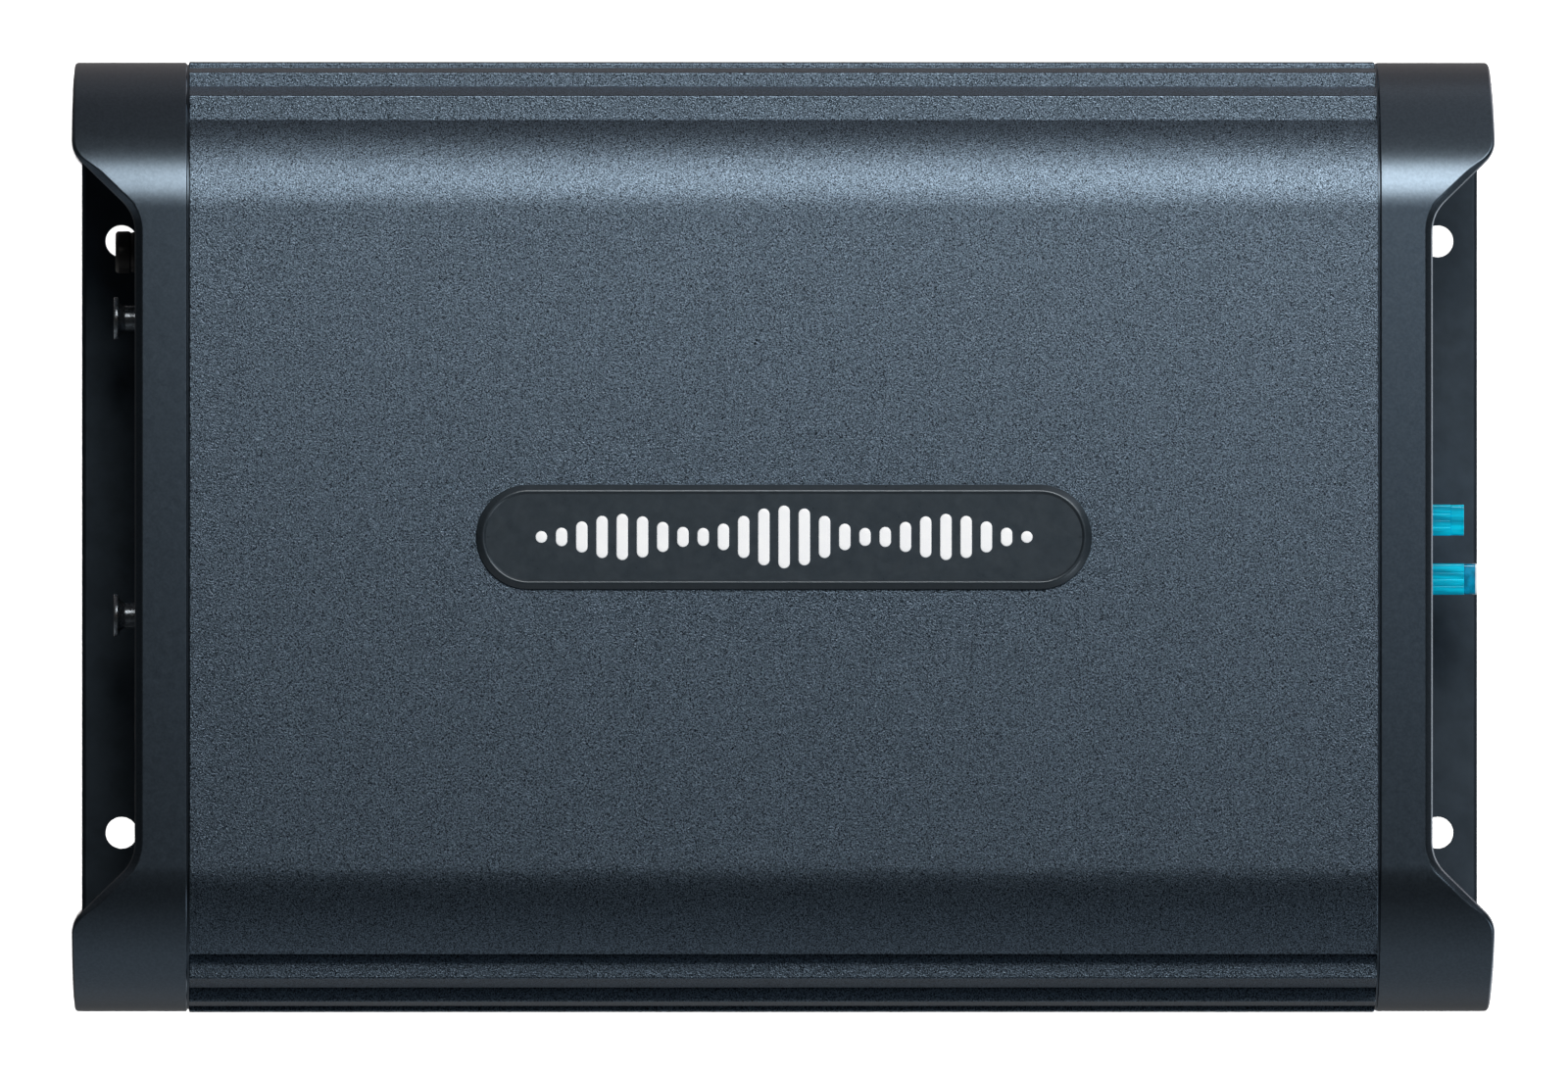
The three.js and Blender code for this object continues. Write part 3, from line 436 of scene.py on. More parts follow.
def offset(loop, inset):
    """Moves each point to the left of its path, which is into the material of an outline that
    runs anticlockwise and of a hole that runs clockwise."""
    if not inset:
        return list(loop)
    moved = []
    for i, point in enumerate(loop):
        here = Vector(point)
        into = (here - Vector(loop[i - 1])).normalized()
        out = (Vector(loop[(i + 1) % len(loop)]) - here).normalized()
        side = Vector((-into.y - out.y, into.x + out.x)).normalized()
        lean = max(0.35, side.dot(Vector((-into.y, into.x))))
        moved.append(tuple(here + side * inset / lean))
    return moved


def arc_angles(steps):
    """Angles of a quarter circle, in radians."""
    return [pi / 2 * k / steps for k in range(steps + 1)]


def round_end(height, side, radius, steps):
    """Levels, (height, inset), that round an extrusion off at its last height. side is its way there."""
    return [(height - side * radius * (1 - sin(a)), radius * (1 - cos(a)))
            for a in arc_angles(steps)]


def edged(low, high, radius, steps=3, far=None):
    """Levels of an extrusion with both its ends rounded. far is the high end's radius, if it is
    another one."""
    far = radius if far is None else far
    side = 1 if high > low else -1
    return round_end(low, -side, radius, steps)[::-1] + round_end(high, side, far, steps)


def along_x(u, v, height):
    return (height, u, v)


def along_y(u, v, height):
    return (u, height, v)


def along_z(u, v, height):
    return (u, v, height)


# ---- solids
class Solid:
    """Closed shells, in millimetres, that make one piece. place turns an outline's (u, v) and a
    height into a point."""

    def __init__(self, place=along_x):
        self.place = place
        self.vertices = []
        self.faces = []

    def ring(self, points):
        first = len(self.vertices)
        self.vertices += points
        return list(range(first, len(self.vertices)))

    def wall(self, lower, upper):
        for i in range(len(lower)):
            self.faces.append((lower[i - 1], lower[i], upper[i], upper[i - 1]))

    def cap(self, loops):
        if len(loops) == 1 and len(loops[0]) <= 4:
            self.faces.append(tuple(loops[0]))
            return
        order = [index for loop in loops for index in loop]
        corners = [[Vector(self.vertices[index]) for index in loop] for loop in loops]
        self.faces += [tuple(order[k] for k in triangle) for triangle in tessellate_polygon(corners)]

    def layered(self, outline, levels, through=(), blind=()):
        """An outline drawn at each level, (height, inset), with holes right through it and blind
        recesses in its last level. Each hole is (outline, levels)."""

        def rings(loop, heights):
            return [self.ring([self.place(u, v, height) for u, v in offset(loop, inset)])
                    for height, inset in heights]

        outer = outline if area(outline) > 0 else outline[::-1]
        stack = rings(outer, levels)
        bottom, top = [stack[0]], [stack[-1]]
        walls = [stack]
        for loop, heights in through:
            stack = rings(loop[::-1] if area(loop) > 0 else loop, heights)
            bottom.append(stack[0])
            top.append(stack[-1])
            walls.append(stack)
        for loop, heights in blind:
            stack = rings(loop[::-1] if area(loop) > 0 else loop, heights)
            top.append(stack[0])
            walls.append(stack)
            self.cap([stack[-1]])
        for stack in walls:
            for lower, upper in zip(stack, stack[1:]):
                self.wall(lower, upper)
        self.cap(bottom)
        self.cap(top)
        return self

    def block(self, low, high, radius=0.3):
        """A box between two corners, with its edges rounded."""
        outline = rectangle(low[1], high[1], low[2], high[2], radius * 1.5)
        return self.layered(outline, edged(low[0], high[0], radius))


WELD_DISTANCE = 1e-7


def piece(name, solid, look, slot=None, body=ROOT, replaces=(), angle=32):
    """A solid made into a mesh that rides on a body, whose edges over the angle, in degrees, stay
    sharp. The slot argument is not used."""
    slot = slot or look
    mesh = bpy.data.meshes.new(name)
    mesh.from_pydata([Vector(v) * MM for v in solid.vertices], [], solid.faces)
    work = bmesh.new()
    work.from_mesh(mesh)
    bmesh.ops.remove_doubles(work, verts=work.verts, dist=WELD_DISTANCE)
    bmesh.ops.recalc_face_normals(work, faces=work.faces)
    work.to_mesh(mesh)
    work.free()
    mesh.shade_smooth()
    mesh.set_sharp_from_angle(angle=radians(angle))
    made = bpy.data.objects.new(name, mesh)
    scene.collection.objects.link(made)
    mesh.materials.append(LOOKS[look])
    shading = made.modifiers.new("weighted_normals", "WEIGHTED_NORMAL")
    shading.keep_sharp = True
    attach(made, body)
    if replaces:
        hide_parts(*replaces)
    return made


# ---- enclosure
COVER_LOW, COVER_HIGH = span("heatsink_cover")
SEAM_X = COVER_HIGH.x
HALF_DEPTH = COVER_HIGH.y
CROWN_Z = COVER_HIGH.z
COVER_FLOOR_Z = COVER_LOW.z
CROWN_DROP = 0.6
FLAT_Y = 54.0
SHOULDER_Y = HALF_DEPTH - FLAT_Y
SHOULDER_Z = 30.0
SHOULDER_CENTRE_Z = CROWN_Z - CROWN_DROP - SHOULDER_Z

HOOD_LOW, HOOD_HIGH = span("power_end_hood")
HOOD_INSET = 0.15
HOOD_WALL = 2.2
HOOD_TONGUE = 0.28  # how far the hood's wall steps out towards the cover, below the seam
SEAM_STEP_FOOT, SEAM_STEP_ROOF = 0.35, 1.40  # how deep the tongue lies on the flanks and in the roof
SEAM_STEP_Z = 30.0  # where it starts to lie deeper
SEAM_STEP_RISE = 15.0
SEAM_ROUND = 0.3
# the end's edge as (distance back, depth): bevelled along the notch, and rounded on the flanks
NOTCH_BEVEL = [(1.25, 0.0), (1.05, 0.05), (0.90, 0.16), (0.15, 0.98), (0.03, 1.18), (0.0, 1.40)]
BEVEL_FADE = 3.0  # over how much of the end's length the one turns into the other
FLANK_ROUND = 0.6
HOOD_LIP = 0.12
# the inner lip's profile, as (distance back, depth)
HOOD_LIP_EDGE = [(HOOD_LIP, 1.45), (0.04, 1.55), (0.0, 1.70), (0.0, 1.95), (0.06, 2.12), (0.20, HOOD_WALL)]
HOOD_DRAFT = 0.9  # the hood's end leans in by this much from the height HOOD_DRAFT_Z to the foot
HOOD_DRAFT_Z = 50.0
NOTCH_X = 107.5
NOTCH_Y = 53.5
NOTCH_MOUTH_Y = 63.7
FLANGE_T = 2.0
BOSS_R = 4.2

CROWN_EDGE_Z = 46.8
FIN_TOP_Z = 44.0
FIN_HEIGHT = 5.3
FIN_PITCH = 7.8
FIN_COUNT = 4
FIN_ROOT_Y = 70.6
FIN_LEAN = 0.25  # the share of the shoulder's own slope that a fin's nose follows
FIN_DROOP = 0.012  # the slope of a fin's upper face
CROWN_GROOVE = 2.2  # how deep the first groove is, under the crown's edge
SCREW_CHANNELS = [(64.0, 43.0), (-64.0, 43.0), (72.5, 5.0), (-72.5, 5.0)]
CHANNEL_R = 1.9
CASTING_ANGLE = 40  # degrees; the extrusion's and the hoods' edges over it stay sharp

MOUNT_X, MOUNT_Y, MOUNT_R = 109.7, 49.3, 2.65
BASE_SCREW_HOLE_R = 2.0
PLATE_LAP = 0.3  # how far the plate's ends reach past the CAD solid's

PANEL_LOW, PANEL_HIGH = span("power_end_panel")
CONNECTOR_Z = middle("level_knob").z


def envelope_y(z):
    """How far out the shoulder reaches at height z."""
    up = max(0.0, z - SHOULDER_CENTRE_Z) / SHOULDER_Z
    return FLAT_Y + SHOULDER_Y * sqrt(1 - up * up)


def crown_z(y):
    return CROWN_Z - CROWN_DROP * (y / FLAT_Y) ** 2


def cover_half():
    """The +Y half of the extrusion's profile, from the crown round to the inside of the roof."""
    lip_angle = degrees(asin((CROWN_EDGE_Z - SHOULDER_CENTRE_Z) / SHOULDER_Z))
    points = [(FLAT_Y * k / 12, crown_z(FLAT_Y * k / 12)) for k in range(12)]
    points += arc(FLAT_Y, SHOULDER_CENTRE_Z, SHOULDER_Y, SHOULDER_Z, 90, lip_angle, 26)[:-1]
    lip_y = envelope_y(CROWN_EDGE_Z)
    first_root = lip_y - CROWN_GROOVE
    points += [(lip_y, CROWN_EDGE_Z, 0.35), (first_root, CROWN_EDGE_Z, 0.5)]
    for i in range(FIN_COUNT):
        top = FIN_TOP_Z - i * FIN_PITCH
        bottom = top - FIN_HEIGHT
        nose = envelope_y((top + bottom) / 2)
        lean = FIN_LEAN * (envelope_y(bottom) - envelope_y(top))
        root = first_root if i == 0 else FIN_ROOT_Y
        points.append((root, top, 0.5))
        points.append((nose - lean, top - FIN_DROOP * (nose - root), 0.32))
        points.append((min(nose + lean, HALF_DEPTH), bottom, 0.30))
        points.append((FIN_ROOT_Y, bottom, 0.5))
    rail_top = FIN_TOP_Z - FIN_COUNT * FIN_PITCH
    points += [(FIN_ROOT_Y, rail_top, 0.5), (HALF_DEPTH, rail_top, 0.4)]
    points += [(HALF_DEPTH, COVER_FLOOR_Z + 1.5, 0.7), (HALF_DEPTH - 1.5, COVER_FLOOR_Z, 0.5)]
    points += [(63.5, COVER_FLOOR_Z, 0.3), (63.5, 8.7), (68.5, 8.7), (68.5, 10.9), (66.0, 10.9)]
    points += [(66.0, 34.0, 3.0), (56.0, 50.0, 3.0)]
    return points


def add_cover():
    half = cover_half()
    mirrored = [(-u, v, *extra) for u, v, *extra in half[::-1]]
    outline = rounded(half + mirrored[:-1], steps=4)
    levels = edged(-SEAM_X, SEAM_X, 0.22, steps=2)
    holes = [(circle(y, z, CHANNEL_R, 20), edged(-SEAM_X, SEAM_X, 0.2, steps=1)) for y, z in SCREW_CHANNELS]
    cover = Solid().layered(outline, levels, through=holes)
    piece("heatsink_cover_extrusion", cover, "cover_paint", replaces=["heatsink_cover"],
          angle=CASTING_ANGLE)


def notch_edge():
    """The hood roof's edge over the connectors, as (x, |y|), from the middle out."""
    corners = [(NOTCH_X, 0.0), (NOTCH_X, NOTCH_Y, 7.0), (HOOD_HIGH.x, NOTCH_MOUTH_Y, 5.0)]
    closing = [(HOOD_HIGH.x, 90.0), (200.0, 90.0), (200.0, 0.0)]  # round the outside, to close the outline
    return rounded(corners + closing, steps=14)[:-2]


def hood_end(edge, y):
    """(x of the hood's end at this y, how much a distance across the edge grows along X)."""
    y = abs(y)
    for (x0, y0), (x1, y1) in zip(edge, edge[1:]):
        if y0 <= y <= y1 and y1 > y0:
            share = (y - y0) / (y1 - y0)
            return x0 + (x1 - x0) * share, hypot(1.0, (x1 - x0) / (y1 - y0))
    return HOOD_HIGH.x, 1.0


def arch_stations():
    """((y, z), outward normal) along the hood's outer surface, from the +Y foot to the -Y foot."""
    half = []
    foot = HOOD_LOW.z
    for k in range(8):
        half.append(((HALF_DEPTH - HOOD_INSET, foot + (SHOULDER_CENTRE_Z - foot) * k / 8), (1.0, 0.0)))
    across, up = SHOULDER_Y - HOOD_INSET, SHOULDER_Z - HOOD_INSET
    for k in range(61):
        angle = pi / 2 * k / 60
        place = (FLAT_Y + across * cos(angle), SHOULDER_CENTRE_Z + up * sin(angle))
        half.append((place, Vector((cos(angle) / across, sin(angle) / up)).normalized()))
    for k in range(36, -1, -1):
        y = FLAT_Y * sin(pi / 2 * k / 37)
        slope = 2 * CROWN_DROP * y / FLAT_Y**2
        half.append(((y, crown_z(y) - HOOD_INSET), Vector((slope, 1.0)).normalized()))
    other = [((-y, z), (-n[0], n[1])) for (y, z), n in half[-2::-1]]
    return half + other


def hood_section(bevel, step):
    """Closed section of the hood's wall: (from, distance, depth). The distance is from the seam or
    back from the end, and the depth is from the outer surface. bevel goes from 0, with the end's
    edge rounded, to 1, with it bevelled; step is how deep the tongue at the seam lies."""
    section = [("seam", SEAM_ROUND * (1 - cos(a)), SEAM_ROUND * (1 - sin(a)))
               for a in arc_angles(3)]
    for (distance, depth), a in zip(NOTCH_BEVEL, arc_angles(len(NOTCH_BEVEL) - 1)):
        round_distance, round_depth = FLANK_ROUND * (1 - sin(a)), FLANK_ROUND * (1 - cos(a))
        distance = round_distance + bevel * (distance - round_distance)
        section.append(("end", HOOD_LIP + distance, round_depth + bevel * (depth - round_depth)))
    section += [("end", distance, depth) for distance, depth in HOOD_LIP_EDGE]
    section += [("seam", -HOOD_TONGUE, HOOD_WALL), ("seam", -HOOD_TONGUE, step), ("seam", 0.0, step)]
    return section


def hood_shell(side):
    solid = Solid()
    edge = notch_edge()
    rings = []
    for (y, z), (normal_y, normal_z) in arch_stations():
        ring = []
        bevel = min(1.0, (HOOD_HIGH.x - hood_end(edge, y)[0]) / BEVEL_FADE)
        risen = min(1.0, max(0.0, (z - SEAM_STEP_Z) / SEAM_STEP_RISE))
        step = SEAM_STEP_FOOT + (SEAM_STEP_ROOF - SEAM_STEP_FOOT) * risen
        for origin, distance, depth in hood_section(bevel, step):
            at_y, at_z = y - depth * normal_y, z - depth * normal_z
            if origin == "seam":
                x = HOOD_LOW.x + distance
            else:
                end, growth = hood_end(edge, at_y)
                x = end - distance * growth - HOOD_DRAFT * max(0.0, 1 - at_z / HOOD_DRAFT_Z)
            ring.append((side * x, at_y, at_z))
        rings.append(solid.ring(ring))
    for lower, upper in zip(rings, rings[1:]):
        solid.wall(lower, upper)
    solid.cap([rings[0]])
    solid.cap([rings[-1]])
    return solid


def arch_outline(inset, floor_z):
    """The hood's arch, inset from the cover's outer surface and closed along the floor."""
    across, up = SHOULDER_Y - inset, SHOULDER_Z - inset
    right = arc(FLAT_Y, SHOULDER_CENTRE_Z, across, up, 0, 90, 20)
    left = arc(-FLAT_Y, SHOULDER_CENTRE_Z, across, up, 90, 180, 20)
    top = [(y, crown_z(y) - inset) for y in (FLAT_Y * (1 - k / 6) for k in range(1, 12))]
    return [(HALF_DEPTH - inset, floor_z)] + right + top + left + [(inset - HALF_DEPTH, floor_z)]


def add_hood(end, side):
    solid = hood_shell(side)
    ring_in = side * (PANEL_HIGH.x + 0.3)
    ring_out = ring_in + side * FLANGE_T
    # the flange inside the hood is a band that stands open at the foot
    opening = arch_outline(HOOD_INSET + HOOD_WALL + 3.6, COVER_FLOOR_Z + 0.02)
    outer = arch_outline(HOOD_INSET + 1, COVER_FLOOR_Z)
    solid.layered(outer + opening[::-1], edged(ring_in, ring_out, 0.15, steps=2))
    boss_face = ring_out + side * 0.15
    for y, z in SCREW_CHANNELS:
        hole = (circle(y, z, CHANNEL_R, 24), edged(ring_in, boss_face, 0.15, steps=1))
        solid.layered(circle(y, z, BOSS_R, 36), edged(ring_in, boss_face, 0.25), through=[hole])
    piece(f"{end}_end_hood_casting", solid, "hood_paint", replaces=[f"{end}_end_hood"], angle=CASTING_ANGLE)


def add_base_plate():
    low, high = span("base_plate")
    mounts = [(sx * MOUNT_X, sy * MOUNT_Y) for sx in (-1, 1) for sy in (-1, 1)]
    holes = [(circle(x, y, MOUNT_R, 40), edged(low.z, high.z, 0.12, steps=2)) for x, y in mounts]
    for i in range(4):
        at = middle(f"base_screw_{i + 1}")
        holes.append((circle(at.x, at.y, BASE_SCREW_HOLE_R, 32), [(low.z, 1.2), (high.z, 0.0)]))
    outline = rectangle(low.x - PLATE_LAP, high.x + PLATE_LAP, low.y, high.y, 2.0, steps=8)
    plate = Solid(along_z).layered(outline, edged(low.z, high.z, 0.15, steps=5, far=0.8), through=holes)
    piece("base_plate_sheet", plate, "sheet_steel_paint", replaces=["base_plate"])


def add_panel(end, side, windows):
    levels = edged(side * PANEL_LOW.x, side * PANEL_HIGH.x, 0.12, steps=2)
    windows = windows + [circle(y, z, CHANNEL_R, 20) for y, z in SCREW_CHANNELS]
    outline = arch_outline(HOOD_INSET + HOOD_WALL + 0.4, COVER_FLOOR_Z)
    panel = Solid().layered(outline, levels, through=[(loop, levels) for loop in windows])
    piece(f"{end}_end_panel_sheet", panel, "sheet_steel_paint", replaces=[f"{end}_end_panel"])


def add_badge():
    """A pill-shaped plate with a bevelled rim, and a plain row of level bars on it."""
    low, high = span("badge_plate")
    field_z = high.z - 0.28
    foot_z = low.z - 0.25
    levels = [(foot_z, 0.0), (low.z + 0.1, 0.0), (low.z + 0.3, 0.1), (high.z - 0.12, 0.85), (high.z, 1.05)]
    levels += [(high.z, 1.25), (high.z - 0.08, 1.38), (field_z, 1.60), (field_z, 2.2)]
    pill = rectangle(low.x, high.x, low.y, high.y, (high.y - low.y) / 2 - 0.01, steps=16)
    plate = Solid(along_z).layered(pill, levels)
    piece("badge_plate_bevelled", plate, "badge", replaces=["badge_plate"])

    marks = Solid(along_z)
    bars, pitch, half_width, tallest = 25, 3.35, 0.95, 5.2
    for i in range(bars):
        place = i - (bars - 1) / 2
        swell = 0.5 + 0.5 * cos(place * 0.74)
        taper = 1 - (abs(place) / bars * 1.55) ** 2
        half = max(half_width + 0.02, tallest * (0.30 + 0.70 * swell) * taper)
        x = place * pitch
        outline = rectangle(x - half_width, x + half_width, -half, half, half_width - 0.01, steps=8)
        marks.layered(outline, edged(field_z - 0.05, high.z - 0.02, 0.01, steps=3, far=0.18))
    piece("badge_level_bars", marks, "badge_mark", "badge")


# ---- screws
THREAD_PITCH = 0.7


def screw(at, radius, head, recess, shank, side):
    """A screw along X with a domed head and a cross recess: head is (seat, face), recess is (reach,
    half width), shank is (radius, end), and side is the way that the head faces."""
    solid = Solid()
    seat, face = head
    reach, half = recess
    dome = 0.38 * (face - seat) * side
    levels = [(seat, 0.12), (seat + side * 0.12, 0.0)]
    levels += [(face - side * dome * (1 - sin(a)), (radius - reach - 0.35) * (1 - cos(a)))
               for a in arc_angles(6)]
    hollow = [(face, 0.06), (face - side * 0.12, 0.0), (face - side * 1.1, -0.12)]
    solid.layered(disc(at, radius, 40), levels, blind=[(cross(at.y, at.z, reach, half), hollow)])
    shank_r, end = shank
    threads = [(end, 0.35), (end + side * 0.35, 0.12)]
    for k in range(1, int(abs(seat - end) / THREAD_PITCH)):
        foot = end + side * (0.35 + k * THREAD_PITCH)
        if abs(seat - foot) > THREAD_PITCH:
            threads += [(foot, 0.0), (foot + side * THREAD_PITCH / 2, 0.28)]
    threads.append((seat + side * 0.05, 0.1))
    return solid.layered(disc(at, shank_r, 24), threads)


def add_end_screws():
    for end, side in (("signal", -1), ("power", 1)):
        for i in range(4):
            node = f"{end}_end_screw_{i + 1}"
            low, high = span(node)
            face, tip = (high.x, low.x) if side > 0 else (low.x, high.x)
            solid = screw(middle(node), 2.8, (face - side * 1.8, face), (1.7, 0.38), (1.45, tip), side)
            piece(f"{node}_pan_head", solid, "black_screw", replaces=[node])


def add_terminal_screws():
    for name in TERMINALS:
        node = f"{name}_screw"
        low, high = span(node)
        solid = screw(middle(node), 3.7, (high.x - 2.2, high.x), (2.3, 0.5), (1.95, low.x), 1)
        piece(f"{node}_binding_head", solid, "plated_contact", body=node, replaces=[node])


def add_base_screws():
    for i in range(4):
        node = f"base_screw_{i + 1}"
        low, high = span(node)
        at = middle(node)
        cone = [(1.3, 1.2), (low.z + 0.12, 0.0), (low.z, 0.06)]
        hollow = [(low.z, 0.05), (low.z + 0.8, -0.1)]
        solid = Solid(along_z).layered(circle(at.x, at.y, 2.6, 36), cone,
                                       blind=[(cross(at.x, at.y, 1.5, 0.35), hollow)])
        solid.layered(circle(at.x, at.y, 1.4, 20), edged(1.25, high.z, 0.2))
        piece(f"{node}_countersunk", solid, "bright_steel", replaces=[node])


# ---- signal end
KNOB_NECK_R = 2.1
KNOB_HEAD_T = 0.75
POT_SHAFT_R = 2.6
POT_BORE_X = -91.6
JACK_BORE_X = -100.0
BEZEL_BACK_X, BEZEL_FACE_X = -100.02, -100.9


def upright(node, radius):
    """The outline, across X, of a CAD node's box with its corners rounded."""
    low, high = span(node)
    return rectangle(low.y, high.y, low.z, high.z, radius)


def add_knob(name):
    node = f"{name}_knob"
    low, high = span(node)
    at = middle(node)
    tip, back = low.x, high.x
    head_r = (high.y - low.y) / 2
    neck = head_r - KNOB_NECK_R
    rim, flare = 0.16, 1.25
    levels = [(back, neck + 0.2), (back - 0.2, neck)]
    levels += [(tip + KNOB_HEAD_T + flare * (1 - sin(a)), neck - 1.2 * flare * (1 - cos(a)))
               for a in arc_angles(6)]
    levels += [(tip + KNOB_HEAD_T, rim), (tip + KNOB_HEAD_T - rim, 0.0)] + round_end(tip, -1, rim, 3)
    slot = rectangle(at.y - 2.5, at.y + 2.5, at.z - 0.42, at.z + 0.42, 0.3)
    solid = Solid().layered(disc(at, head_r, 64), levels,
                            blind=[(slot, [(tip, 0.1), (tip + 0.1, 0.0), (tip + 0.5, -0.04)])])
    piece(f"{node}_moulding", solid, "knob_plastic", body=node, replaces=[node])


def add_pot(name):
    node = f"{name}_pot"
    low, high = span(node)
    at = middle(node)
    front = -SEAM_X
    shaft_hole = disc(at, POT_SHAFT_R, 32)
    solid = Solid().layered(upright(node, 0.6), edged(high.x, front, 0.3),
                            blind=[(shaft_hole, [(front, 0.0), (POT_BORE_X, 0.0)])])
    threads = [(front - 0.02, 0.0)]
    for k in range(5):
        foot = front - 0.5 - k * 0.5
        threads += [(foot, 0.0), (foot - 0.25, 0.16)]
    threads.append((low.x, 0.3))
    solid.layered(disc(at, 3.3, 40), threads,
                  through=[(shaft_hole, edged(front - 0.02, low.x, 0.15, steps=2))])
    piece(f"{node}_body", solid, "black_plastic", replaces=[node])


def add_remote_jack():
    low, high = span("remote_jack")
    at = middle("remote_jack")
    front, tip = -SEAM_X, low.x
    solid = Solid().layered(upright("remote_jack", 0.6), edged(high.x, front, 0.3))
    levels = [(front + 0.5, 0.1), (tip + 3.0, 0.1), (tip + 2.8, 0.22), (tip + 2.5, 0.22), (tip + 2.3, 0.0)]
    levels += round_end(tip, -1, 0.6, 6)
    bore = [(tip, 0.25), (tip + 0.25, 0.0), (JACK_BORE_X, 0.0)]
    solid.layered(disc(at, 3.5, 48), levels, blind=[(disc(at, 1.8, 32), bore)])
    piece("remote_jack_barrel", solid, "black_plastic", replaces=["remote_jack"])


def add_phono_jack(node, insulator):
    """The barrel round its insulator, and the collar on the panel."""
    low, high = span(node)
    at = middle(node)
    back, tip = high.x, low.x
    radius = (high.y - low.y) / 2

    def round_part(outer_r, levels, **holes):
        return Solid().layered(disc(at, outer_r, 48), levels, **holes)

    hollow = [(tip, 0.12), (tip + 0.12, 0.0), (back - 1.2, 0.0)]
    levels = [(back, 0.1), (back - 0.1, 0.0), (tip + 1.4, 0.0), (tip + 1.2, 0.12), (tip + 0.9, 0.12)]
    levels += [(tip + 0.7, 0.0), (tip + 0.15, 0.0), (tip, 0.12)]
    barrel = round_part(radius, levels, blind=[(disc(at, 3.4, 40), hollow)])
    piece(f"{node}_barrel", barrel, "plated_contact", replaces=[node])
    pin_hole = (disc(at, 1.75, 28), edged(back - 1.3, tip + 0.9, 0.1, steps=2))
    post = Solid().layered(disc(at, 2.3, 36), edged(back - 1.3, tip + 0.8, 0.25),
                           through=[pin_hole])
    piece(f"{node}_insulator", post, insulator, "black_plastic")
    fit = (disc(at, radius + 0.1, 40), edged(BEZEL_BACK_X, BEZEL_FACE_X, 0.1, steps=2))
    bezel = round_part(5.9, edged(BEZEL_BACK_X, BEZEL_FACE_X, 0.05, far=0.35), through=[fit])
    piece(f"{node}_bezel", bezel, "black_plastic")


def add_switch():
    node = "mode_switch_slider"
    low, high = span(node)
    solid = Solid().block((low.x + 0.6, low.y, low.z), (high.x, high.y, high.z), 0.15)
    ribs = 4
    pitch = (high.y - low.y) / ribs
    for k in range(ribs):
        y = low.y + pitch * (k + 0.5)
        rib_low = (low.x, y - pitch * 0.27, low.z + 0.1)
        solid.block(rib_low, (low.x + 0.9, y + pitch * 0.27, high.z - 0.1), 0.08)
    piece(f"{node}_cap", solid, "black_plastic", body=node, replaces=[node])


# ---- power end
POWER_SIDE = ["battery", "remote", "ground"]
SPEAKER_SIDE = ["speaker_positive", "speaker_negative"]
TERMINALS = POWER_SIDE + SPEAKER_SIDE
BARRIER_T = 1.4
TERMINAL_PITCH = 11.0
TERMINAL_HALF_HEIGHT = 10.0
BLOCK_BACK_X, BLOCK_FACE_X = 97.2, 101.8
SCREW_HOLE_R = 2.35


def add_terminal_block(name, terminals):
    low, high = span(name)
    foot = CONNECTOR_Z - TERMINAL_HALF_HEIGHT
    ys = [middle(f"{t}_screw").y for t in terminals]
    holes = [(circle(y, CONNECTOR_Z, SCREW_HOLE_R, 28), edged(BLOCK_BACK_X, BLOCK_FACE_X, 0.1, steps=1))
             for y in ys]
    solid = Solid().layered(rectangle(low.y, high.y, foot, high.z, 0.5),
                            edged(BLOCK_BACK_X, BLOCK_FACE_X, 0.1), through=holes)
    rear_face = BLOCK_BACK_X - 0.2
    tip = span(f"{terminals[0]}_screw")[0].x
    bores = [(circle(y, CONNECTOR_Z, SCREW_HOLE_R, 28), [(rear_face, 0.0), (tip - 0.5, 0.0)]) for y in ys]
    solid.layered(upright(name, 0.6), edged(low.x, rear_face, 0.4), blind=bores)
    for i in range(len(ys) + 1):
        y = low.y + i * TERMINAL_PITCH
        barrier = rectangle(y, y + BARRIER_T, foot, high.z, 0.35)
        solid.layered(barrier, edged(BLOCK_BACK_X, high.x, 0.05, far=0.4))
    piece(f"{name}_moulding", solid, "black_plastic", replaces=[name])

    strips = Solid()
    back, face = BLOCK_FACE_X - 0.2, BLOCK_FACE_X + 0.3
    for y in ys:
        outline = rectangle(y - 4.3, y + 4.3, CONNECTOR_Z - 8.4, CONNECTOR_Z + 8.4, 0.5)
        hole = (circle(y, CONNECTOR_Z, 2.4, 28), edged(back, face, 0.08, steps=1))
        strips.layered(outline, edged(back, face, 0.08), through=[hole])
    piece(f"{name}_contact_strips", strips, "plated_contact")


def add_clamp_plates():
    for name in TERMINALS:
        node = f"{name}_clamp_plate"
        low, high = span(node)
        at = middle(node)
        hole = (disc(at, SCREW_HOLE_R, 28), edged(low.x, high.x, 0.1, steps=1))
        solid = Solid().layered(upright(node, 0.7), edged(low.x, high.x, 0.16), through=[hole])
        piece(f"{node}_square", solid, "plated_contact", body=node, replaces=[node])


BLADE_ZS = [CONNECTOR_Z - 6.9, CONNECTOR_Z + 6.9]
BLADE_SLOT_HALF_T, BLADE_SLOT_HALF_W, BLADE_SLOT_FLOOR_X = 0.78, 3.05, 92.4
HOLDER_HALF_HEIGHT = 12.0
HOLDER_SPLIT_X = 101.0  # the front frame ends here, and the rear part starts
HOLDER_FOOT_X = 96.9
FUSE_BODY_LENGTH = 12.0
FUSE_HEAD_LENGTH = 2.15
FUSE_RIBS = 4
FUSE_GROOVE = 0.07


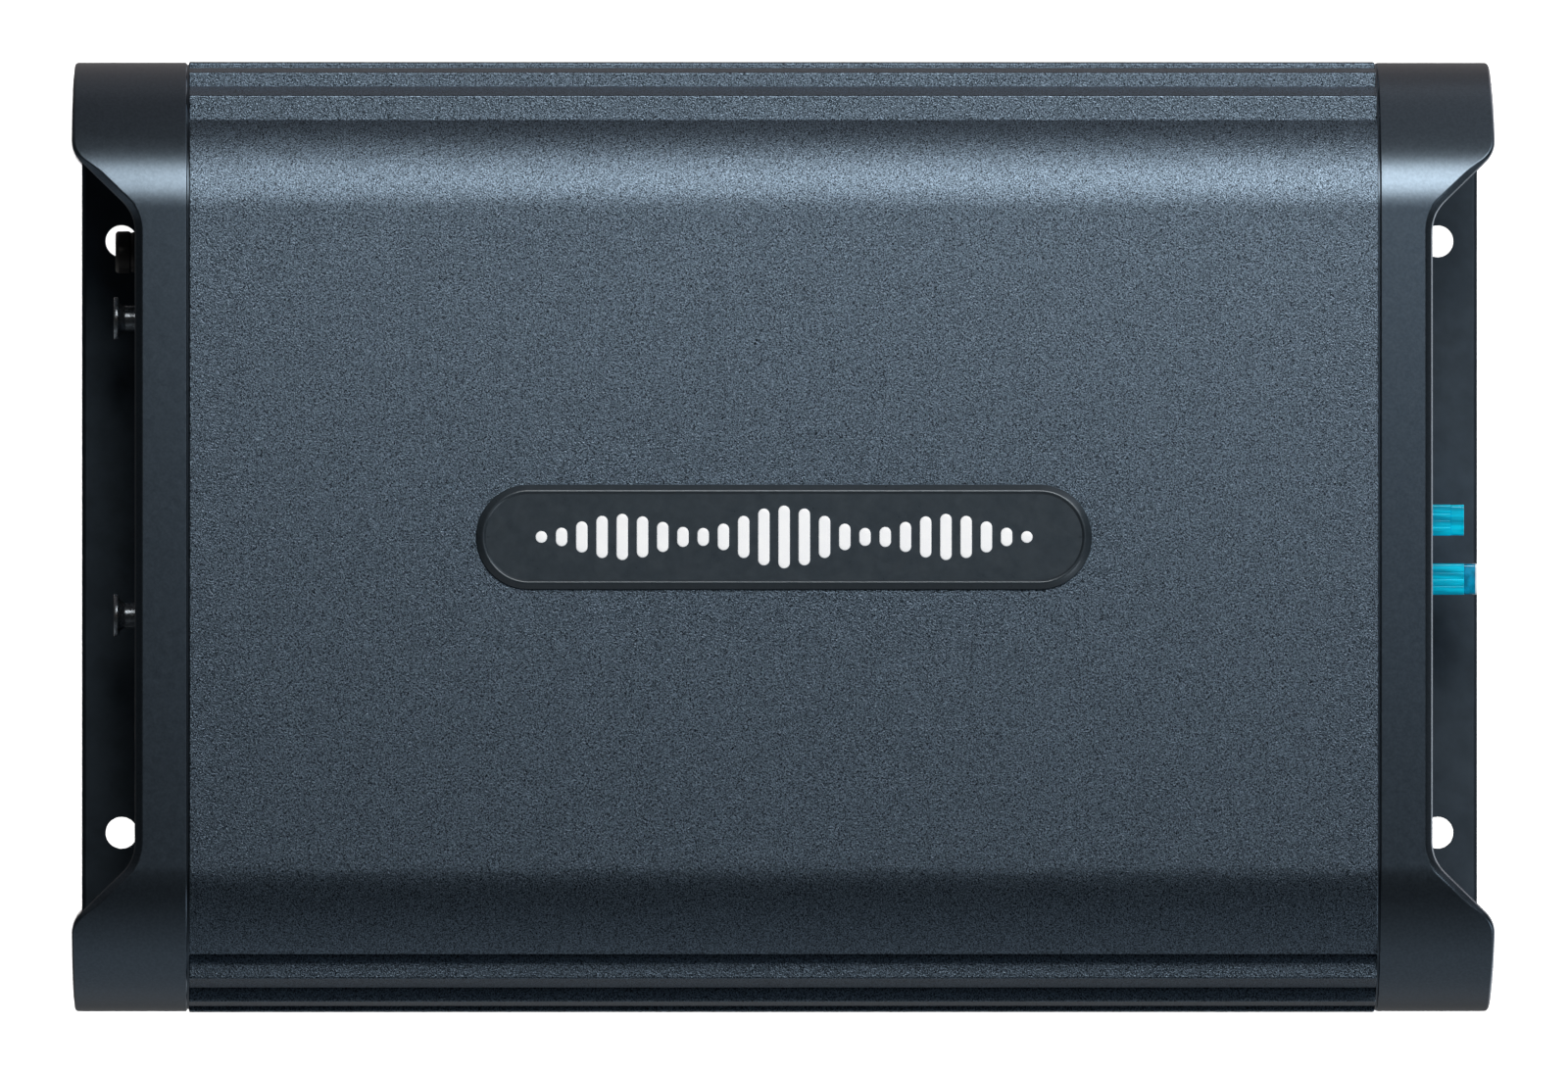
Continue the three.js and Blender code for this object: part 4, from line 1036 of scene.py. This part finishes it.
def add_fuse_holder():
    """A front frame round the fuses' bodies, a rear part with the slots for their blades, and a foot."""
    low, high = span("fuse_holder")
    base_z = CONNECTOR_Z - HOLDER_HALF_HEIGHT
    windows, slots = [], []
    for i in (1, 2):
        fuse_low, fuse_high = span(f"fuse_{i}")
        window = rectangle(fuse_low.y - 0.4, fuse_high.y + 0.4, fuse_low.z - 0.4, fuse_high.z + 0.4, 0.5)
        mouth = [(HOLDER_SPLIT_X, 0.0), (high.x - 0.35, 0.0), (high.x - 0.1, 0.12), (high.x, 0.35)]
        windows.append((window, mouth))
        y = middle(f"fuse_{i}").y
        for z in BLADE_ZS:
            slot = rectangle(y - BLADE_SLOT_HALF_T, y + BLADE_SLOT_HALF_T, z - BLADE_SLOT_HALF_W,
                             z + BLADE_SLOT_HALF_W, 0.3)
            slots.append((slot, [(HOLDER_SPLIT_X - 0.02, 0.0), (BLADE_SLOT_FLOOR_X, 0.0)]))
    outline = rectangle(low.y, high.y, base_z, high.z, 1.0)
    solid = Solid().layered(outline, edged(HOLDER_SPLIT_X, high.x, 0.02, far=0.5), through=windows)
    solid.layered(outline, edged(low.x, HOLDER_SPLIT_X - 0.02, 0.3, far=0.02), blind=slots)
    solid.block((low.x, low.y + 0.2, low.z), (HOLDER_FOOT_X, high.y - 0.2, base_z + 1), 0.4)
    piece("fuse_holder_moulding", solid, "black_plastic", replaces=["fuse_holder"])


def add_fuse(i, lens, rim):
    """A blade fuse lying on its edge: a ribbed moulded body, its clearer outer head with a rim, and
    two blades. A white, glowing rim, as on fuse 2, is a painted highlight along the end's edge."""
    node = f"fuse_{i}"
    low, high = span(node)
    middle_y = middle(node).y
    tip = high.x - 0.3
    back = tip - FUSE_BODY_LENGTH
    head = tip - FUSE_HEAD_LENGTH

    def face(in_y, in_z, radius, steps=4):
        return rectangle(low.y + in_y, high.y - in_y, low.z + in_z, high.z - in_z, radius, steps)

    ridged = [(low.y, low.z, 0.35), (high.y, low.z, 0.35), (high.y, high.z, 0.35)]
    pitch = (high.y - low.y - 0.7) / FUSE_RIBS
    for k in range(FUSE_RIBS - 1, 0, -1):
        y = low.y + 0.35 + k * pitch
        floor = high.z - FUSE_GROOVE
        ridged += [(y + 0.17, high.z, 0.08), (y + 0.06, floor, 0.04), (y - 0.06, floor, 0.04),
                   (y - 0.17, high.z, 0.08)]
    ridged = rounded(ridged + [(low.y, high.z, 0.35)], steps=3)
    body = Solid().layered(ridged, edged(back, head, 0.25, far=0.10))
    piece(f"{node}_body", body, "fuse_plastic", body=node, replaces=[node])

    test_slots = [(rectangle(middle_y - 0.7, middle_y + 0.7, z - 1.5, z + 1.5, 0.3),
                   [(tip, 0.1), (tip - 0.1, 0.0), (tip - 1.2, 0.0)]) for z in BLADE_ZS]
    outer = Solid().layered(face(0.06, 0.1, 0.5), edged(head + 0.02, tip, 0.05, steps=4, far=0.40),
                            blind=test_slots)
    piece(f"{node}_head", outer, lens, "fuse_plastic", body=node)
    window = (face(0.5, 0.5, 0.4), edged(tip - 0.30, tip + 0.02, 0.05, steps=1))
    frame_edge = Solid().layered(face(0.02, 0.06, 0.7, 6), edged(tip - 0.30, tip + 0.02, 0.06),
                                 through=[window])
    piece(f"{node}_rim", frame_edge, rim, "fuse_plastic", body=node)

    blades = Solid(along_y)
    for z in BLADE_ZS:
        blade = [(x, z_at) for z_at, x in rectangle(z - 2.6, z + 2.6, low.x, back + 0.8, 0.9)]
        blades.layered(blade, edged(middle_y - 0.33, middle_y + 0.33, 0.14, steps=2))
        tab = rectangle(tip - 1.6, tip - 0.7, z - 1.4, z + 1.4, 0.2)
        blades.layered(tab, edged(middle_y - 0.45, middle_y + 0.45, 0.1, steps=1))
    piece(f"{node}_blades", blades, "bright_steel", body=node)


# ---- panel print
def strip(solid, x, points, width, thickness=0.06):
    """A printed line on a panel, from the first (y, z) to the second."""
    start, end = map(Vector, points)
    along = (end - start).normalized() * width / 2
    side = Vector((-along.y, along.x))
    start, end = start - along, end + along
    outline = [tuple(corner) for corner in (start - side, end - side, end + side, start + side)]
    solid.layered(outline, [(x, 0.0), (x + copysign(thickness, x), 0.0)])


def level_line(solid, x, y0, y1, z, width):
    strip(solid, x, ((y0, z), (y1, z)), width)


def dial_ticks(solid, x, at, radius):
    for k in range(11):
        turn = Vector((cos(radians(30 * k - 60)), sin(radians(30 * k - 60))))
        reach = 1.7 if k % 5 == 0 else 1.1
        centre = Vector((at.y, at.z))
        strip(solid, x, (centre + turn * radius, centre + turn * (radius + reach)), 0.32)


def add_print():
    signal = Solid()
    x = -PANEL_HIGH.x
    for name in ("crossover", "level"):
        dial_ticks(signal, x, middle(f"{name}_knob"), 5.4)
    slider_y = middle("mode_switch_slider").y
    for z in (CONNECTOR_Z + 4.4, CONNECTOR_Z - 4.4):
        level_line(signal, x, slider_y - 2.6, slider_y + 4.6, z, 0.3)
    jack_ys = [middle(f"phono_jack_{i}").y for i in (1, 2)]
    level_line(signal, x, jack_ys[0] + 6, jack_ys[1] - 6, CONNECTOR_Z + 9, 0.3)
    piece("signal_panel_marks", signal, "print_ink", "sheet_steel_paint")

    power = Solid()
    x = PANEL_HIGH.x
    z = CONNECTOR_Z + 13
    for name in ("battery", "speaker_positive", "speaker_negative"):
        y = middle(f"{name}_screw").y
        level_line(power, x, y - 1.1, y + 1.1, z, 0.4)
        if name != "speaker_negative":
            strip(power, x, ((y, z - 1.1), (y, z + 1.1)), 0.4)
    y = middle("ground_screw").y
    for k, half in enumerate((1.5, 0.95, 0.4)):
        level_line(power, x, y - half, y + half, z - k * 0.8, 0.32)
    strip(power, x, ((y, z + 0.3), (y, z + 1.8)), 0.32)
    piece("power_panel_marks", power, "print_ink", "sheet_steel_paint")


# ---- assembly
KEPT_EDGE = 0.0002


def keep(node, look):
    """A CAD node whose shape stays, with a better material and softened edges."""
    made = frame["nodes"][node]
    made.data.materials.clear()
    made.data.materials.append(LOOKS[look])
    bevel = made.modifiers.new("edges", "BEVEL")
    bevel.width = KEPT_EDGE
    bevel.segments = 2
    bevel.limit_method = "ANGLE"
    bevel.angle_limit = radians(50)


def signal_windows():
    """The panel's openings for the jacks, controls, lamps and switch."""
    radii = {"remote_jack": 3.6, "crossover_knob": 3.7, "level_knob": 3.7,
             "phono_jack_1": 4.6, "phono_jack_2": 4.6}
    windows = [circle(middle(node).y, CONNECTOR_Z, radius, 40) for node, radius in radii.items()]
    windows += [circle(middle(node).y, middle(node).z, 1.9, 24) for node in ("power_lamp", "protect_lamp")]
    y = middle("mode_switch_slider").y + 1
    return windows + [rectangle(y - 3, y + 3, CONNECTOR_Z - 1.9, CONNECTOR_Z + 1.9, 0.3)]


def power_windows():
    """The panel's openings for the terminal blocks and the fuse holder."""
    windows = []
    for node, half_height in (("power_terminal_block", TERMINAL_HALF_HEIGHT),
                              ("speaker_terminal_block", TERMINAL_HALF_HEIGHT),
                              ("fuse_holder", HOLDER_HALF_HEIGHT)):
        low, high = span(node)
        reach = half_height + 0.4
        windows.append(rectangle(low.y - 0.4, high.y + 0.4, CONNECTOR_Z - reach, CONNECTOR_Z + reach, 0.4))
    return windows


def build():
    add_cover()
    add_hood("power", 1)
    add_hood("signal", -1)
    add_base_plate()
    add_badge()
    add_end_screws()
    add_base_screws()
    add_panel("signal", -1, signal_windows())
    add_panel("power", 1, power_windows())

    for name in ("crossover", "level"):
        add_pot(name)
        add_knob(name)
    add_remote_jack()
    add_phono_jack("phono_jack_1", "white_insulator")
    add_phono_jack("phono_jack_2", "red_insulator")
    add_switch()

    add_terminal_block("power_terminal_block", POWER_SIDE)
    add_terminal_block("speaker_terminal_block", SPEAKER_SIDE)
    add_clamp_plates()
    add_terminal_screws()
    add_fuse_holder()
    add_fuse(1, "fuse_plastic", "fuse_plastic")
    # fuse 2's white glowing rim is a painted highlight along its end
    add_fuse(2, "fuse_lens", "painted_highlight_rim")
    add_print()

    slots = {part["node"]: part["material_slot"] for part in frame["record"]["subparts"]}
    kept = ["phono_housing", "mode_switch_body", "power_lamp", "protect_lamp", "control_board",
            "main_board", "power_transformer", "output_inductor"]
    kept += [f"transistor_clamp_{i}" for i in (1, 2)]
    kept += [f"reservoir_capacitor_{i}" for i in (1, 2, 3)]
    kept += [f"output_transistor_{i}" for i in (1, 2, 3, 4)]
    for node in kept:
        keep(node, slots[node])


add_camera()
add_studio()
build()
